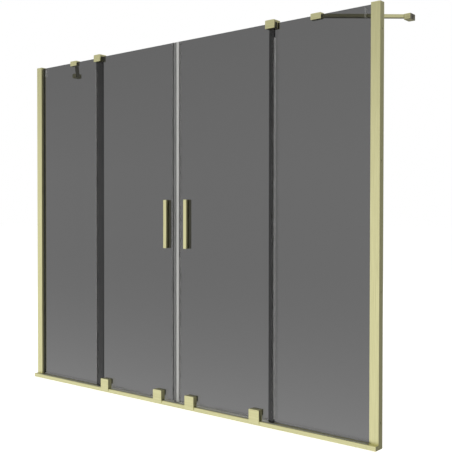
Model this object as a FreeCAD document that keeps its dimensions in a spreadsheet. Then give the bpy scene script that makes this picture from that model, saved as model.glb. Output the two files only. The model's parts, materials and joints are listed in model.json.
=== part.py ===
import FreeCAD, Part
import math
import os
import re

import Sketcher
from FreeCAD import Rotation, Vector

# Sliding bath screen between two side walls: two fixed panes and two sliding doors.
# X runs from wall to wall with zero in the middle, Y runs from the room to the bath with zero
# on the front of the doors' glass, and Z runs up from the underside of the bottom rail.

doc = FreeCAD.newDocument("bath_screen")

# Driving dimensions in millimetres: name, value and what it measures.
SIZES = (
    ("overall_width", 1800, "from wall to wall"),
    ("profile_height", 1500, "top of the wall profiles"),
    ("profile_width", 34, "wall profile along the screen"),
    ("profile_back_leg", 4.5, "wall profile behind the glazing slot"),
    ("profile_wall", 2, "wall thickness of the wall profile"),
    ("cap_thickness", 2, "plate of the profile cap"),
    ("plug_depth", 10, "how far a cap's plug goes into its hollow"),
    ("plug_clearance", 0.2, "room round a cap's plug"),
    ("bay_width", 12, "bay for the wall channel in the profile"),
    ("channel_wall", 2, "wall thickness of the wall channel"),
    ("channel_clearance", 0.2, "room between wall channel and profile"),
    ("channel_end_gap", 2, "room between the channel's legs and the bay's floor"),
    ("wall_hole_radius", 2.5, "hole for a wall screw"),
    ("wall_hole_first", 90, "height of the lowest wall screw"),
    ("wall_hole_spacing", 440, "spacing of the wall screws"),
    ("lock_radius", 1.75, "screw that locks the profile on its channel"),
    ("lock_head_radius", 3, "head of the locking screw"),
    ("lock_head_height", 2, "head of the locking screw"),
    ("lock_first", 200, "height of the lowest locking screw"),
    ("lock_spacing", 550, "spacing of the locking screws"),
    ("screw_clearance", 0.1, "room round a screw in its hole"),
    ("glass_thickness", 8, "all four panes"),
    ("glass_arris", 0.5, "ground edge of a pane"),
    ("glass_hole_radius", 5, "hole in a door's pane"),
    ("panel_gap", 6, "between the doors and the fixed panes"),
    ("fixed_glass_bite", 16, "how far a fixed pane enters its wall profile"),
    ("fixed_glass_drop", 4, "fixed pane below the profile's top"),
    ("fixed_free_edge", 449, "free edge of a fixed pane from the middle"),
    ("gasket_thickness", 1.5, "gasket beside a fixed pane"),
    ("gasket_back", 2, "gasket under or behind the edge of a fixed pane"),
    ("gasket_lip_reach", 5, "gasket lip along the pane"),
    ("gasket_lip_rise", 1.5, "gasket lip on the profile's face"),
    ("rail_front", 20, "rail in front of the doors' glass"),
    ("rail_back_leg", 2.5, "rail behind the sill slot"),
    ("rail_height", 16, "height of the rail's body"),
    ("rail_wall", 2, "wall thickness of the rail"),
    ("rail_web_inset", 13, "web inside the rail from its front"),
    ("sill_floor", 4, "floor under the sill slot"),
    ("rib_inset", 9, "middle of the running rib from the rail's front"),
    ("rib_width", 4, "running rib"),
    ("rib_height", 2.5, "running rib"),
    ("filler_clearance", 0.2, "room beside the filler strip"),
    ("filler_end_gap", 0.5, "filler strip short of the fixed panes"),
    ("filler_wall", 2, "wall thickness of the filler strip"),
    ("overlap", 30, "door over fixed pane when closed"),
    ("door_gap", 33, "between the glass of the closed doors"),
    ("door_lift", 5, "doors' glass above the rail"),
    ("door_glass_drop", 6, "doors' glass below the profile's top"),
    ("carriage_width", 47, "carriage along the screen"),
    ("carriage_rise", 42, "carriage above the rail"),
    ("carriage_clearance", 1, "carriage over the rail"),
    ("carriage_corner", 3, "rounded upper corners of a carriage"),
    ("carriage_edge", 0.8, "rounded front edge of a carriage"),
    ("carriage_outer_inset", 73.5, "middle of the outer carriage from the door's outer edge"),
    ("carriage_inner_inset", 70.5, "middle of the inner carriage from the door's inner edge"),
    ("skirt_gap", 0.5, "carriage skirt in front of the rail"),
    ("skirt_thickness", 2, "carriage skirt"),
    ("skirt_level", 6, "lower edge of the carriage skirt"),
    ("pad_thickness", 1, "pads and washers against the glass"),
    ("pad_width", 44, "carriage pad and back plate"),
    ("pad_height", 22, "carriage pad and back plate"),
    ("pad_drop", 1, "carriage pad below the carriage's top"),
    ("plate_thickness", 3, "carriage back plate"),
    ("carriage_screw_radius", 2.5, "screw through the glass"),
    ("carriage_screw_spacing", 30, "two screws of a carriage"),
    ("carriage_screw_drop", 8, "screws below the carriage's top"),
    ("carriage_screw_bite", 12, "thread in the carriage"),
    ("countersink", 2, "depth of the countersunk head"),
    ("roller_radius", 10, "running radius in the roller's groove"),
    ("roller_flange", 2.3, "flange beside the rib"),
    ("roller_width", 9, "roller along its axle"),
    ("roller_gap", 0.25, "roller over the rib"),
    ("roller_room", 1.2, "room round the roller in its carriage"),
    ("roller_side_play", 0.5, "room beside the roller in its carriage"),
    ("groove_play", 0.6, "roller groove beside the rib"),
    ("axle_radius", 2.5, "roller axle"),
    ("axle_clearance", 0.05, "running room round the axle"),
    ("axle_inset", 1.5, "axle end behind the glass face"),
    ("axle_cover", 2, "metal in front of the axle"),
    ("handle_width", 16, "handle bar along the screen"),
    ("outer_handle_depth", 10, "handle bar on the room side"),
    ("inner_handle_depth", 17, "handle bar on the bath side"),
    ("handle_height", 200, "handle bar"),
    ("handle_level", 750, "middle of the handle bar"),
    ("handle_inset", 38, "middle of the handle from the glass's inner edge"),
    ("handle_edge", 1.2, "rounded edges of the handle bar"),
    ("handle_stud_radius", 3, "stud through the glass"),
    ("handle_stud_spacing", 120, "two studs of a handle"),
    ("handle_stud_bite", 6, "stud in each handle bar"),
    ("washer_radius", 7, "washer between handle and glass"),
    ("seal_wall", 1, "wall of the clip-on seals"),
    ("seal_grip", 9, "clip of a seal over the glass edge"),
    ("magnet_gap", 0.5, "between the two magnetic seals"),
    ("drip_gap", 0.5, "drip seal over the rail"),
    ("lip_reach", 8, "lip beyond the door's outer edge"),
    ("lip_clearance", 0.5, "lip in front of the fixed pane"),
    ("lip_drop", 35, "lip seal below the top guide"),
    ("stop_setback", 17, "door stop from the wall profile"),
    ("stop_width", 9, "door stop along the screen"),
    ("stop_depth", 10, "door stop in front of the fixed pane"),
    ("stop_height", 33, "door stop"),
    ("stop_drop", 8, "door stop below the top of the door's glass"),
    ("stop_edge", 1, "rounded edges of the door stop"),
    ("guide_width", 40, "top guide along the screen"),
    ("guide_inset", 16, "middle of the guide from the pane's free edge"),
    ("guide_rise", 6, "top guide above the profile's top"),
    ("guide_height", 31, "top guide"),
    ("guide_front", 10, "top guide in front of the doors' glass"),
    ("guide_back_leg", 6.5, "top guide behind its clamp pad"),
    ("guide_headroom", 2, "over the door's glass in the guide"),
    ("guide_roof_gap", 1, "over the fixed pane in the guide"),
    ("guide_corner", 2, "rounded corners of the guide and the stay clamp"),
    ("liner_thickness", 1.5, "nylon liner of the guide"),
    ("liner_play", 0.5, "between the liner and the door's glass"),
    ("clamp_pad_thickness", 1.5, "pad behind the fixed pane"),
    ("clamp_pad_margin", 3, "clamp pad inside the ends of its clamp"),
    ("grub_radius", 2.5, "grub screw of the clamps"),
    ("grub_spacing", 24, "two grub screws of a clamp"),
    ("grub_level", 4.5, "grub screws above the lower edge of a clamp"),
    ("stay_from_wall", 253, "middle of the stay clamp from the wall"),
    ("stay_clamp_width", 42, "stay clamp along the screen"),
    ("stay_clamp_height", 22, "stay clamp"),
    ("stay_clamp_rise", 4, "stay clamp above the profile's top"),
    ("stay_plate", 3.5, "front plate of the stay clamp"),
    ("stay_back_leg", 10, "stay clamp behind its pad"),
    ("stay_roof_gap", 0.5, "over the fixed pane in the stay clamp"),
    ("stay_drop", 3, "middle of the stay bar below the profile's top"),
    ("stay_bar_width", 18, "flat bar of the stay"),
    ("stay_bar_height", 12, "flat bar of the stay"),
    ("stay_bar_edge", 0.8, "rounded long edges of the bar"),
    ("stay_stud_radius", 2.5, "stud in each end of the bar"),
    ("stay_stud_bite", 8, "stud in each piece that it joins"),
    ("bracket_reach", 244, "end of the stay bar behind the doors' front"),
    ("bracket_width", 24, "wall bracket off the wall"),
    ("bracket_depth", 40, "wall bracket along the wall"),
    ("bracket_height", 21, "wall bracket"),
    ("bracket_setback", 6, "middle of the wall bracket behind the end of the bar"),
    ("bracket_drop", 3.5, "middle of the wall bracket below the bar's"),
    ("bracket_edge", 1.5, "rounded edges of the wall bracket"),
    ("recess_size", 16, "square recess in the bracket for the wall plate"),
    ("recess_depth", 6, "recess in the bracket"),
    ("wall_plate_thickness", 3, "wall plate in the bracket"),
    ("wall_plate_grub", 1.5, "grub screw under the bracket"),
)
WALL_HOLE_COUNT = 4
LOCK_COUNT = 3
SIDES = ((-1, "left"), (1, "right"))

sheet = doc.addObject("Spreadsheet::Sheet", "sizes")
for row, (alias, value, meaning) in enumerate(SIZES, start=1):
    sheet.set(f"A{row}", str(value))
    sheet.setAlias(f"A{row}", alias)
    sheet.set(f"B{row}", meaning)
doc.recompute()

# Sizes that follow from the driving ones, as text for the bindings below.
HALF = "(overall_width / 2)"
COLUMN = "(profile_height - cap_thickness)"
FIXED_FRONT = "(glass_thickness + panel_gap)"
FIXED_BACK = "(2 * glass_thickness + panel_gap)"
SLOT_FRONT = f"({FIXED_FRONT} - gasket_thickness)"
SLOT_BACK = f"({FIXED_BACK} + gasket_thickness)"
SLOT_FLOOR = "(profile_width - fixed_glass_bite - gasket_back)"
PROFILE_DEPTH = f"({SLOT_BACK} + profile_back_leg)"
BAY_DEPTH = f"({SLOT_FLOOR} - profile_wall)"
BAY_FRONT = f"(({PROFILE_DEPTH} - bay_width) / 2)"
BAY_BACK = f"(({PROFILE_DEPTH} + bay_width) / 2)"
FIXED_TOP = "(profile_height - fixed_glass_drop)"
FIXED_BOTTOM = "(sill_floor + gasket_back)"
FIXED_EDGE = f"({HALF} - profile_width + fixed_glass_bite)"
RAIL_BACK = f"({SLOT_BACK} + rail_back_leg)"
WEB_FRONT = "(rail_front - rail_web_inset + rail_wall / 2)"
WEB_BACK = "(rail_front - rail_web_inset - rail_wall / 2)"
RIB = "(rail_front - rib_inset)"
DOOR_OUTER = "(fixed_free_edge + overlap)"
DOOR_INNER = "(door_gap / 2)"
DOOR_BOTTOM = "(rail_height + door_lift)"
DOOR_TOP = "(profile_height - door_glass_drop)"
CARRIAGE_FRONT = "(rail_front + skirt_gap + skirt_thickness)"
CARRIAGE_BASE = "(rail_height + carriage_clearance)"
CARRIAGE_TOP = "(rail_height + carriage_rise)"
CARRIAGE_OUTER = f"({DOOR_OUTER} - carriage_outer_inset)"
CARRIAGE_INNER = f"({DOOR_INNER} + carriage_inner_inset)"
PAD_TOP = f"({CARRIAGE_TOP} - pad_drop)"
PLATE_FRONT = "(glass_thickness + pad_thickness)"
PLATE_BACK = f"({PLATE_FRONT} + plate_thickness)"
SCREW_LEVEL = f"({CARRIAGE_TOP} - carriage_screw_drop)"
ROLLER_LEVEL = "(rail_height + rib_height + roller_gap + roller_radius)"
ROLLER_EDGE = "(roller_radius + roller_flange)"
HANDLE = f"({DOOR_INNER} + handle_inset)"
GUIDE = "(fixed_free_edge + guide_inset)"
GUIDE_TOP = "(profile_height + guide_rise)"
GUIDE_BOTTOM = f"({GUIDE_TOP} - guide_height)"
LINER_FRONT = "(liner_play + liner_thickness)"
LINER_BACK = f"(glass_thickness + {LINER_FRONT})"
LINER_TOP = f"({DOOR_TOP} + guide_headroom + liner_thickness)"
CLAMP_PAD_BACK = f"({FIXED_BACK} + clamp_pad_thickness)"
GUIDE_BACK = f"({CLAMP_PAD_BACK} + guide_back_leg)"
STAY = f"({HALF} - stay_from_wall)"
STAY_LEVEL = "(profile_height - stay_drop)"
STAY_TOP = "(profile_height + stay_clamp_rise)"
STAY_BOTTOM = f"({STAY_TOP} - stay_clamp_height)"
STAY_BACK = f"({CLAMP_PAD_BACK} + stay_back_leg)"
STAY_RUN = "(stay_from_wall - bracket_width)"
STAY_RISE = f"(bracket_reach - {STAY_BACK})"
STAY_LENGTH = f"sqrt({STAY_RUN} * {STAY_RUN} + {STAY_RISE} * {STAY_RISE})"
BRACKET = "(bracket_reach + bracket_setback)"
BRACKET_LEVEL = f"({STAY_LEVEL} - bracket_drop)"

ALIASES = {alias for alias, value, meaning in SIZES}
NORMAL_SIGN = {"XY_Plane": 1, "XZ_Plane": -1, "YZ_Plane": 1}
SAME = 1e-6


def bind(item, path, text):
    """Tie a property to the sizes that the text names."""
    item.setExpression(path, re.sub(r"[a-z_]+", lambda word: qualified(word.group()), text))


def qualified(word):
    """The sheet's own name for a size, or the word itself."""
    return f"sizes.{word}" if word in ALIASES else word


def sided(side, text):
    """A distance from the middle, taken to the left or to the right."""
    return f"{side} * ({text})"


def place(item, x="0", y="0", z="0"):
    """Tie an object's place to the sizes."""
    for axis, text in zip("xyz", (x, y, z)):
        bind(item, f"Placement.Base.{axis}", text)


def rectangle(left, low, right, high):
    """The four corners of an upright rectangle."""
    return ((left, low), (right, low), (right, high), (left, high))


def start(label):
    """An empty body with its node's name."""
    piece = doc.addObject("PartDesign::Body", label)
    piece.Label = label
    return piece


def draw(piece, role, loops, circles=(), offset="0"):
    """A sketch on one of the body's planes, with every corner and circle tied to the sizes."""
    plane = next(item for item in piece.Origin.OriginFeatures if item.Role == role)
    drawing = piece.newObject("Sketcher::SketchObject", f"{piece.Name}_sketch")
    drawing.AttachmentSupport = (plane, [""])
    drawing.MapMode = "FlatFace"
    bind(drawing, "AttachmentOffset.Base.z", f"{NORMAL_SIGN[role]} * ({offset})")
    for loop in loops:
        first = drawing.GeometryCount
        count = len(loop)
        turns = [2 * math.pi * index / count for index in range(count + 1)]
        corners = [Vector(math.cos(turn), math.sin(turn), 0) for turn in turns]
        for index in range(count):
            drawing.addGeometry(Part.LineSegment(corners[index], corners[index + 1]))
        for index in range(count):
            following = first + (index + 1) % count
            drawing.addConstraint(Sketcher.Constraint("Coincident", first + index, 2, following, 1))
        for index, corner in enumerate(loop):
            tie_point(drawing, first + index, 1, corner)
    for across, up, radius in circles:
        ring = drawing.addGeometry(Part.Circle(Vector(1, 1, 0), Vector(0, 0, 1), 1))
        tie_point(drawing, ring, 3, (across, up))
        number = drawing.addConstraint(Sketcher.Constraint("Radius", ring, 1))
        bind(drawing, f"Constraints[{number}]", radius)
    return drawing


def tie_point(drawing, geometry, end, corner):
    """Tie a point of a sketch to its two distances from the sketch's origin."""
    for kind, text in zip(("DistanceX", "DistanceY"), corner):
        number = drawing.addConstraint(Sketcher.Constraint(kind, -1, 1, geometry, end, 1))
        bind(drawing, f"Constraints[{number}]", text)


def pad(piece, role, loops, length, toward=1, circles=(), offset="0", both=False):
    """Add an extrusion along the plane's axis, towards its plus or minus end, or both ways."""
    feature = piece.newObject("PartDesign::Pad", f"{piece.Name}_pad")
    feature.Profile = draw(piece, role, loops, circles, offset)
    feature.SideType = "Symmetric" if both else "One side"
    feature.Reversed = toward != NORMAL_SIGN[role]
    bind(feature, "Length", length)
    piece.Tip = feature


def pocket(piece, role, loops, length, toward, circles=(), offset="0"):
    """Cut a pocket or holes along the plane's axis, and make sure that it cuts."""
    doc.recompute()
    before = piece.Shape.Volume
    feature = piece.newObject("PartDesign::Pocket", f"{piece.Name}_pocket")
    feature.Profile = draw(piece, role, loops, circles, offset)
    feature.Reversed = toward == NORMAL_SIGN[role]
    bind(feature, "Length", length)
    piece.Tip = feature
    doc.recompute()
    if piece.Shape.Volume >= before:
        raise RuntimeError(f"a pocket of {piece.Label} cuts nothing")


def soften(piece, kind, path, size, wanted):
    """Round or bevel the edges of a body that a test picks."""
    doc.recompute()
    base = piece.Tip
    edges = enumerate(base.Shape.Edges, start=1)
    names = [f"Edge{number}" for number, edge in edges if wanted(edge, base.Shape.BoundBox)]
    feature = piece.newObject(f"PartDesign::{kind}", f"{piece.Name}_{kind}")
    feature.Base = (base, names)
    bind(feature, path, size)
    piece.Tip = feature


def straight(edge):
    """True for an edge that is a line."""
    return edge.Curve.TypeId == "Part::GeomLine"


def along(edge, axis):
    """True for a line that runs along one axis."""
    return straight(edge) and abs(abs(edge.Curve.Direction.dot(axis)) - 1) < SAME


def upper_corner(edge, box):
    """The two upper corners of a block, which run from front to back."""
    span = edge.BoundBox
    at_end = abs(span.XMin - box.XMin) < SAME or abs(span.XMax - box.XMax) < SAME
    return along(edge, Vector(0, 1, 0)) and at_end and abs(span.ZMax - box.ZMax) < SAME


def on_front(edge, box):
    """Every edge round the front face."""
    return abs(edge.BoundBox.YMax - box.YMin) < SAME


def pane_edge(edge, box):
    """The straight edges round the two large faces of a pane."""
    return straight(edge) and not along(edge, Vector(0, 1, 0))


def straight_edge(edge, box):
    """Every straight edge of a bar."""
    return straight(edge)


def off_the_wall(edge, box):
    """The outer edges of a wall bracket, but for those against the wall."""
    span = edge.BoundBox
    reach = max(abs(span.XMin), abs(span.XMax))
    at_end = abs(span.YMax - box.YMin) < SAME or abs(span.YMin - box.YMax) < SAME
    at_face = abs(span.ZMax - box.ZMin) < SAME or abs(span.ZMin - box.ZMax) < SAME
    return straight(edge) and reach > SAME and (at_end or at_face)


def block(label, size, corner):
    """A plain box with its lowest corner in place."""
    item = doc.addObject("Part::Box", label)
    for path, text in zip(("Length", "Width", "Height"), size):
        bind(item, path, text)
    place(item, *corner)
    return item


def rod(label, radius, length, axis, end):
    """A cylinder that runs from its end along an axis."""
    item = doc.addObject("Part::Cylinder", label)
    bind(item, "Radius", radius)
    bind(item, "Height", length)
    item.Placement.Rotation = Rotation(Vector(0, 0, 1), axis)
    place(item, *end)
    return item


def join(label, first, second):
    """One solid made of two that touch."""
    item = doc.addObject("Part::Fuse", label)
    item.Base = first
    item.Tool = second
    return item


def group(label, members):
    """Several like pieces that share a node."""
    item = doc.addObject("Part::Compound", label)
    item.Label = label
    item.Links = members
    return item


ALONG_X = Vector(1, 0, 0)
ALONG_Y = Vector(0, 1, 0)
UPWARDS = Vector(0, 0, 1)
BACKWARDS = Vector(0, -1, 0)


def heights(first, spacing, count):
    """Evenly spaced heights."""
    return [f"({first} + {index} * {spacing})" for index in range(count)]


def wall_channel(side, word):
    """U channel that is screwed to the wall and carries the wall profile."""
    piece = start(f"{word}_wall_channel")
    place(piece, x=sided(side, HALF))
    front = f"({BAY_FRONT} + channel_clearance)"
    back = f"({BAY_BACK} - channel_clearance)"
    reach = sided(-side, f"{BAY_DEPTH} - channel_end_gap")
    web = sided(-side, "channel_wall")
    outline = (
        ("0", front), (reach, front), (reach, f"{front} + channel_wall"), (web, f"{front} + channel_wall"),
        (web, f"{back} - channel_wall"), (reach, f"{back} - channel_wall"), (reach, back), ("0", back),
    )
    pad(piece, "XY_Plane", [outline], COLUMN)
    levels = heights("wall_hole_first", "wall_hole_spacing", WALL_HOLE_COUNT)
    holes = [(f"{PROFILE_DEPTH} / 2", level, "wall_hole_radius") for level in levels]
    pocket(piece, "YZ_Plane", [], "2 * channel_wall", -side, holes)
    levels = heights("lock_first", "lock_spacing", LOCK_COUNT)
    holes = [(sided(-side, f"{BAY_DEPTH} / 2"), level, "lock_radius + screw_clearance") for level in levels]
    pocket(piece, "XZ_Plane", [], "channel_wall", -1, holes, offset=back)
    return piece


def wall_profile(side, word):
    """Extruded profile with a bay for its channel, a glazing slot and two hollow chambers."""
    piece = start(f"{word}_wall_profile")
    place(piece, x=sided(side, HALF))
    width = sided(-side, "profile_width")
    floor = sided(-side, SLOT_FLOOR)
    bay = sided(-side, BAY_DEPTH)
    wall = sided(-side, "profile_wall")
    outline = (
        ("0", "0"), (width, "0"), (width, SLOT_FRONT), (floor, SLOT_FRONT), (floor, SLOT_BACK),
        (width, SLOT_BACK), (width, PROFILE_DEPTH), ("0", PROFILE_DEPTH), ("0", BAY_BACK),
        (bay, BAY_BACK), (bay, BAY_FRONT), ("0", BAY_FRONT),
    )
    inner = sided(-side, "profile_width - profile_wall")
    front_chamber = rectangle(wall, "profile_wall", inner, f"{BAY_FRONT} - profile_wall")
    back_chamber = rectangle(wall, f"{BAY_BACK} + profile_wall", bay, f"{PROFILE_DEPTH} - profile_wall")
    pad(piece, "XY_Plane", [outline, front_chamber, back_chamber], COLUMN)
    levels = heights("lock_first", "lock_spacing", LOCK_COUNT)
    holes = [(sided(-side, f"{BAY_DEPTH} / 2"), level, "lock_radius + screw_clearance") for level in levels]
    pocket(piece, "XZ_Plane", [], f"{PROFILE_DEPTH} - {BAY_BACK}", -1, holes, offset=PROFILE_DEPTH)
    return piece


def profile_cap(side, word):
    """Plate on top of a wall profile, with a plug in the profile's front chamber."""
    piece = start(f"{word}_profile_cap")
    place(piece, x=sided(side, HALF), z=COLUMN)
    plate = rectangle("0", "0", sided(-side, "profile_width"), PROFILE_DEPTH)
    pad(piece, "XY_Plane", [plate], "cap_thickness")
    near = sided(-side, "profile_wall + plug_clearance")
    far = sided(-side, "profile_width - profile_wall - plug_clearance")
    back = f"{BAY_FRONT} - profile_wall - plug_clearance"
    plug = rectangle(near, "profile_wall + plug_clearance", far, back)
    pad(piece, "XY_Plane", [plug], "plug_depth", toward=-1)
    return piece


def lock_screws(side, word):
    """Screws from the bath side that lock a profile on its channel."""
    screws = []
    length = f"{PROFILE_DEPTH} - {BAY_BACK} + channel_clearance + channel_wall"
    across = sided(side, f"{HALF} - {BAY_DEPTH} / 2")
    for level in heights("lock_first", "lock_spacing", LOCK_COUNT):
        name = f"{word}_lock_screw"
        seat = (across, PROFILE_DEPTH, level)
        shank = rod(f"{name}_shank", "lock_radius", length, BACKWARDS, seat)
        head = rod(f"{name}_head", "lock_head_radius", "lock_head_height", ALONG_Y, seat)
        screws.append(join(name, head, shank))
    return screws


def bottom_rail():
    """Extruded rail with a running rib for the rollers, two chambers and the sill slot."""
    piece = start("bottom_rail")
    place(piece)
    top = "rail_height"
    crest = "rail_height + rib_height"
    near = f"-{RIB} + rib_width / 2"
    far = f"-{RIB} - rib_width / 2"
    outline = (
        ("-rail_front", "0"), (RAIL_BACK, "0"), (RAIL_BACK, top), (SLOT_BACK, top),
        (SLOT_BACK, "sill_floor"), (SLOT_FRONT, "sill_floor"), (SLOT_FRONT, top),
        (near, top), (near, crest), (far, crest), (far, top), ("-rail_front", top),
    )
    roof = "rail_height - rail_wall"
    front_chamber = rectangle("rail_wall - rail_front", "rail_wall", f"-{WEB_FRONT}", roof)
    back_chamber = rectangle(f"-{WEB_BACK}", "rail_wall", f"{SLOT_FRONT} - rail_wall", roof)
    length = "overall_width - 2 * profile_width"
    pad(piece, "YZ_Plane", [outline, front_chamber, back_chamber], length, both=True)
    return piece


def rail_cap(side, word):
    """End piece that carries the rail's front past the wall profile, with a plug in the rail."""
    piece = start(f"{word}_rail_cap")
    place(piece, x=sided(side, HALF))
    body = rectangle("-rail_front", "0", "0", "rail_height")
    pad(piece, "YZ_Plane", [body], "profile_width", toward=-side)
    margin = "rail_wall + plug_clearance"
    plug = rectangle(
        f"{margin} - rail_front", margin, f"-{WEB_FRONT} - plug_clearance", f"rail_height - ({margin})"
    )
    pad(piece, "YZ_Plane", [plug], "plug_depth", toward=-side, offset=sided(-side, "profile_width"))
    return piece


def sill_filler():
    """Strip that closes the sill slot between the two fixed panes."""
    piece = start("sill_filler")
    place(piece)
    front = f"{SLOT_FRONT} + filler_clearance"
    back = f"{SLOT_BACK} - filler_clearance"
    roof = "rail_height - filler_wall"
    outline = (
        (front, "sill_floor"), (front, "rail_height"), (back, "rail_height"), (back, "sill_floor"),
        (f"{back} - filler_wall", "sill_floor"), (f"{back} - filler_wall", roof),
        (f"{front} + filler_wall", roof), (f"{front} + filler_wall", "sill_floor"),
    )
    pad(piece, "YZ_Plane", [outline], "2 * (fixed_free_edge - filler_end_gap)", both=True)
    return piece


def fixed_glass(side, word):
    """Fixed pane between its wall profile and its free edge."""
    piece = start(f"{word}_fixed_glass")
    place(piece, y=FIXED_FRONT)
    pane = rectangle(sided(side, "fixed_free_edge"), FIXED_BOTTOM, sided(side, FIXED_EDGE), FIXED_TOP)
    pad(piece, "XZ_Plane", [pane], "glass_thickness", toward=1)
    soften(piece, "Chamfer", "Size", "glass_arris", pane_edge)
    return piece


def glazing_gasket(side, word):
    """Rubber channel round a fixed pane's edge, with a lip on each face of the glass."""
    piece = start(f"{word}_glazing_gasket")
    place(piece, x=sided(side, HALF), z="rail_height")
    floor = sided(-side, SLOT_FLOOR)
    edge = sided(-side, "profile_width - fixed_glass_bite")
    mouth = sided(-side, "profile_width")
    tip = sided(-side, "profile_width + gasket_lip_reach")
    outline = (
        (floor, SLOT_FRONT), (mouth, SLOT_FRONT), (mouth, f"{SLOT_FRONT} - gasket_lip_rise"),
        (tip, FIXED_FRONT), (edge, FIXED_FRONT), (edge, FIXED_BACK), (tip, FIXED_BACK),
        (mouth, f"{SLOT_BACK} + gasket_lip_rise"), (mouth, SLOT_BACK), (floor, SLOT_BACK),
    )
    pad(piece, "XY_Plane", [outline], f"{FIXED_TOP} - rail_height")
    return piece


def sill_gasket(side, word):
    """Rubber channel under a fixed pane in the sill slot."""
    piece = start(f"{word}_sill_gasket")
    place(piece, x=sided(side, "fixed_free_edge"))
    outline = (
        (SLOT_FRONT, "sill_floor"), (SLOT_BACK, "sill_floor"), (SLOT_BACK, "rail_height"),
        (FIXED_BACK, "rail_height"), (FIXED_BACK, FIXED_BOTTOM), (FIXED_FRONT, FIXED_BOTTOM),
        (FIXED_FRONT, "rail_height"), (SLOT_FRONT, "rail_height"),
    )
    pad(piece, "YZ_Plane", [outline], f"{HALF} - profile_width - fixed_free_edge", toward=side)
    return piece


def clamp_holes(piece, bottom, back, depth):
    """Threaded holes for the two grub screws of a clamp."""
    radius = "grub_radius + screw_clearance"
    holes = [(f"{end} * grub_spacing / 2", f"{bottom} + grub_level", radius) for end in (-1, 1)]
    pocket(piece, "XZ_Plane", [], depth, -1, holes, offset=back)


def top_guide(side, word):
    """Block that grips the fixed pane's top and keeps the door's top edge in its slot."""
    piece = start(f"{word}_top_guide")
    place(piece, x=sided(side, GUIDE))
    roof = f"{FIXED_TOP} + guide_roof_gap"
    outline = (
        ("-guide_front", GUIDE_BOTTOM), (f"-{LINER_FRONT}", GUIDE_BOTTOM),
        (f"-{LINER_FRONT}", LINER_TOP), (LINER_BACK, LINER_TOP), (LINER_BACK, GUIDE_BOTTOM),
        (FIXED_FRONT, GUIDE_BOTTOM), (FIXED_FRONT, roof), (CLAMP_PAD_BACK, roof),
        (CLAMP_PAD_BACK, GUIDE_BOTTOM), (GUIDE_BACK, GUIDE_BOTTOM),
        (GUIDE_BACK, GUIDE_TOP), ("-guide_front", GUIDE_TOP),
    )
    pad(piece, "YZ_Plane", [outline], "guide_width", both=True)
    clamp_holes(piece, GUIDE_BOTTOM, GUIDE_BACK, "guide_back_leg")
    soften(piece, "Fillet", "Radius", "guide_corner", upper_corner)
    soften(piece, "Fillet", "Radius", "carriage_edge", on_front)
    return piece


def guide_liner(side, word):
    """Nylon channel in a top guide, in which the door's glass slides."""
    piece = start(f"{word}_guide_liner")
    place(piece, x=sided(side, GUIDE))
    roof = f"{LINER_TOP} - liner_thickness"
    outline = (
        (f"-{LINER_FRONT}", GUIDE_BOTTOM), (f"-{LINER_FRONT}", LINER_TOP), (LINER_BACK, LINER_TOP),
        (LINER_BACK, GUIDE_BOTTOM), ("glass_thickness + liner_play", GUIDE_BOTTOM),
        ("glass_thickness + liner_play", roof), ("-liner_play", roof), ("-liner_play", GUIDE_BOTTOM),
    )
    pad(piece, "YZ_Plane", [outline], "guide_width", both=True)
    return piece


def clamp_pad(side, word, middle, width, bottom):
    """Soft pad between a clamp's grub screws and the back of a fixed pane."""
    length = f"{width} - 2 * clamp_pad_margin"
    height = f"{FIXED_TOP} - {bottom}"
    corner = (f"{side} * {middle} - ({length}) / 2", FIXED_BACK, bottom)
    return block(f"{word}_clamp_pad", (length, "clamp_pad_thickness", height), corner)


def clamp_grubs(side, word, middle, bottom, back, depth):
    """The two grub screws of a clamp."""
    screws = []
    for end in (-1, 1):
        across = f"{side} * {middle} + {end} * grub_spacing / 2"
        level = f"{bottom} + grub_level"
        screws.append(rod(f"{word}_grub", "grub_radius", depth, BACKWARDS, (across, back, level)))
    return screws


def door_stop(side, word):
    """Clear buffer on a fixed pane, where the edge of the open door's glass arrives."""
    piece = start(f"{word}_door_stop")
    near = f"{HALF} - profile_width - stop_setback - stop_width"
    place(piece, x=sided(side, near), z=f"{DOOR_TOP} - stop_drop")
    foot = rectangle("0", f"{FIXED_FRONT} - stop_depth", sided(side, "stop_width"), FIXED_FRONT)
    pad(piece, "XY_Plane", [foot], "stop_height", -1)
    soften(piece, "Fillet", "Radius", "stop_edge", on_front)
    return piece


def stay_clamp(side, word):
    """Clamp on a fixed pane's top, thin in front so that the door passes it."""
    piece = start(f"{word}_stay_clamp")
    place(piece, x=sided(side, STAY))
    front = f"{FIXED_FRONT} - stay_plate"
    roof = f"{FIXED_TOP} + stay_roof_gap"
    outline = (
        (front, STAY_BOTTOM), (FIXED_FRONT, STAY_BOTTOM), (FIXED_FRONT, roof), (CLAMP_PAD_BACK, roof),
        (CLAMP_PAD_BACK, STAY_BOTTOM), (STAY_BACK, STAY_BOTTOM), (STAY_BACK, STAY_TOP), (front, STAY_TOP),
    )
    pad(piece, "YZ_Plane", [outline], "stay_clamp_width", both=True)
    clamp_holes(piece, STAY_BOTTOM, STAY_BACK, "stay_back_leg")
    hole = [("0", STAY_LEVEL, "stay_stud_radius + screw_clearance")]
    pocket(piece, "XZ_Plane", [], "stay_stud_bite", -1, hole, offset=STAY_BACK)
    soften(piece, "Fillet", "Radius", "guide_corner", upper_corner)
    soften(piece, "Fillet", "Radius", "carriage_edge", on_front)
    return piece


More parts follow.
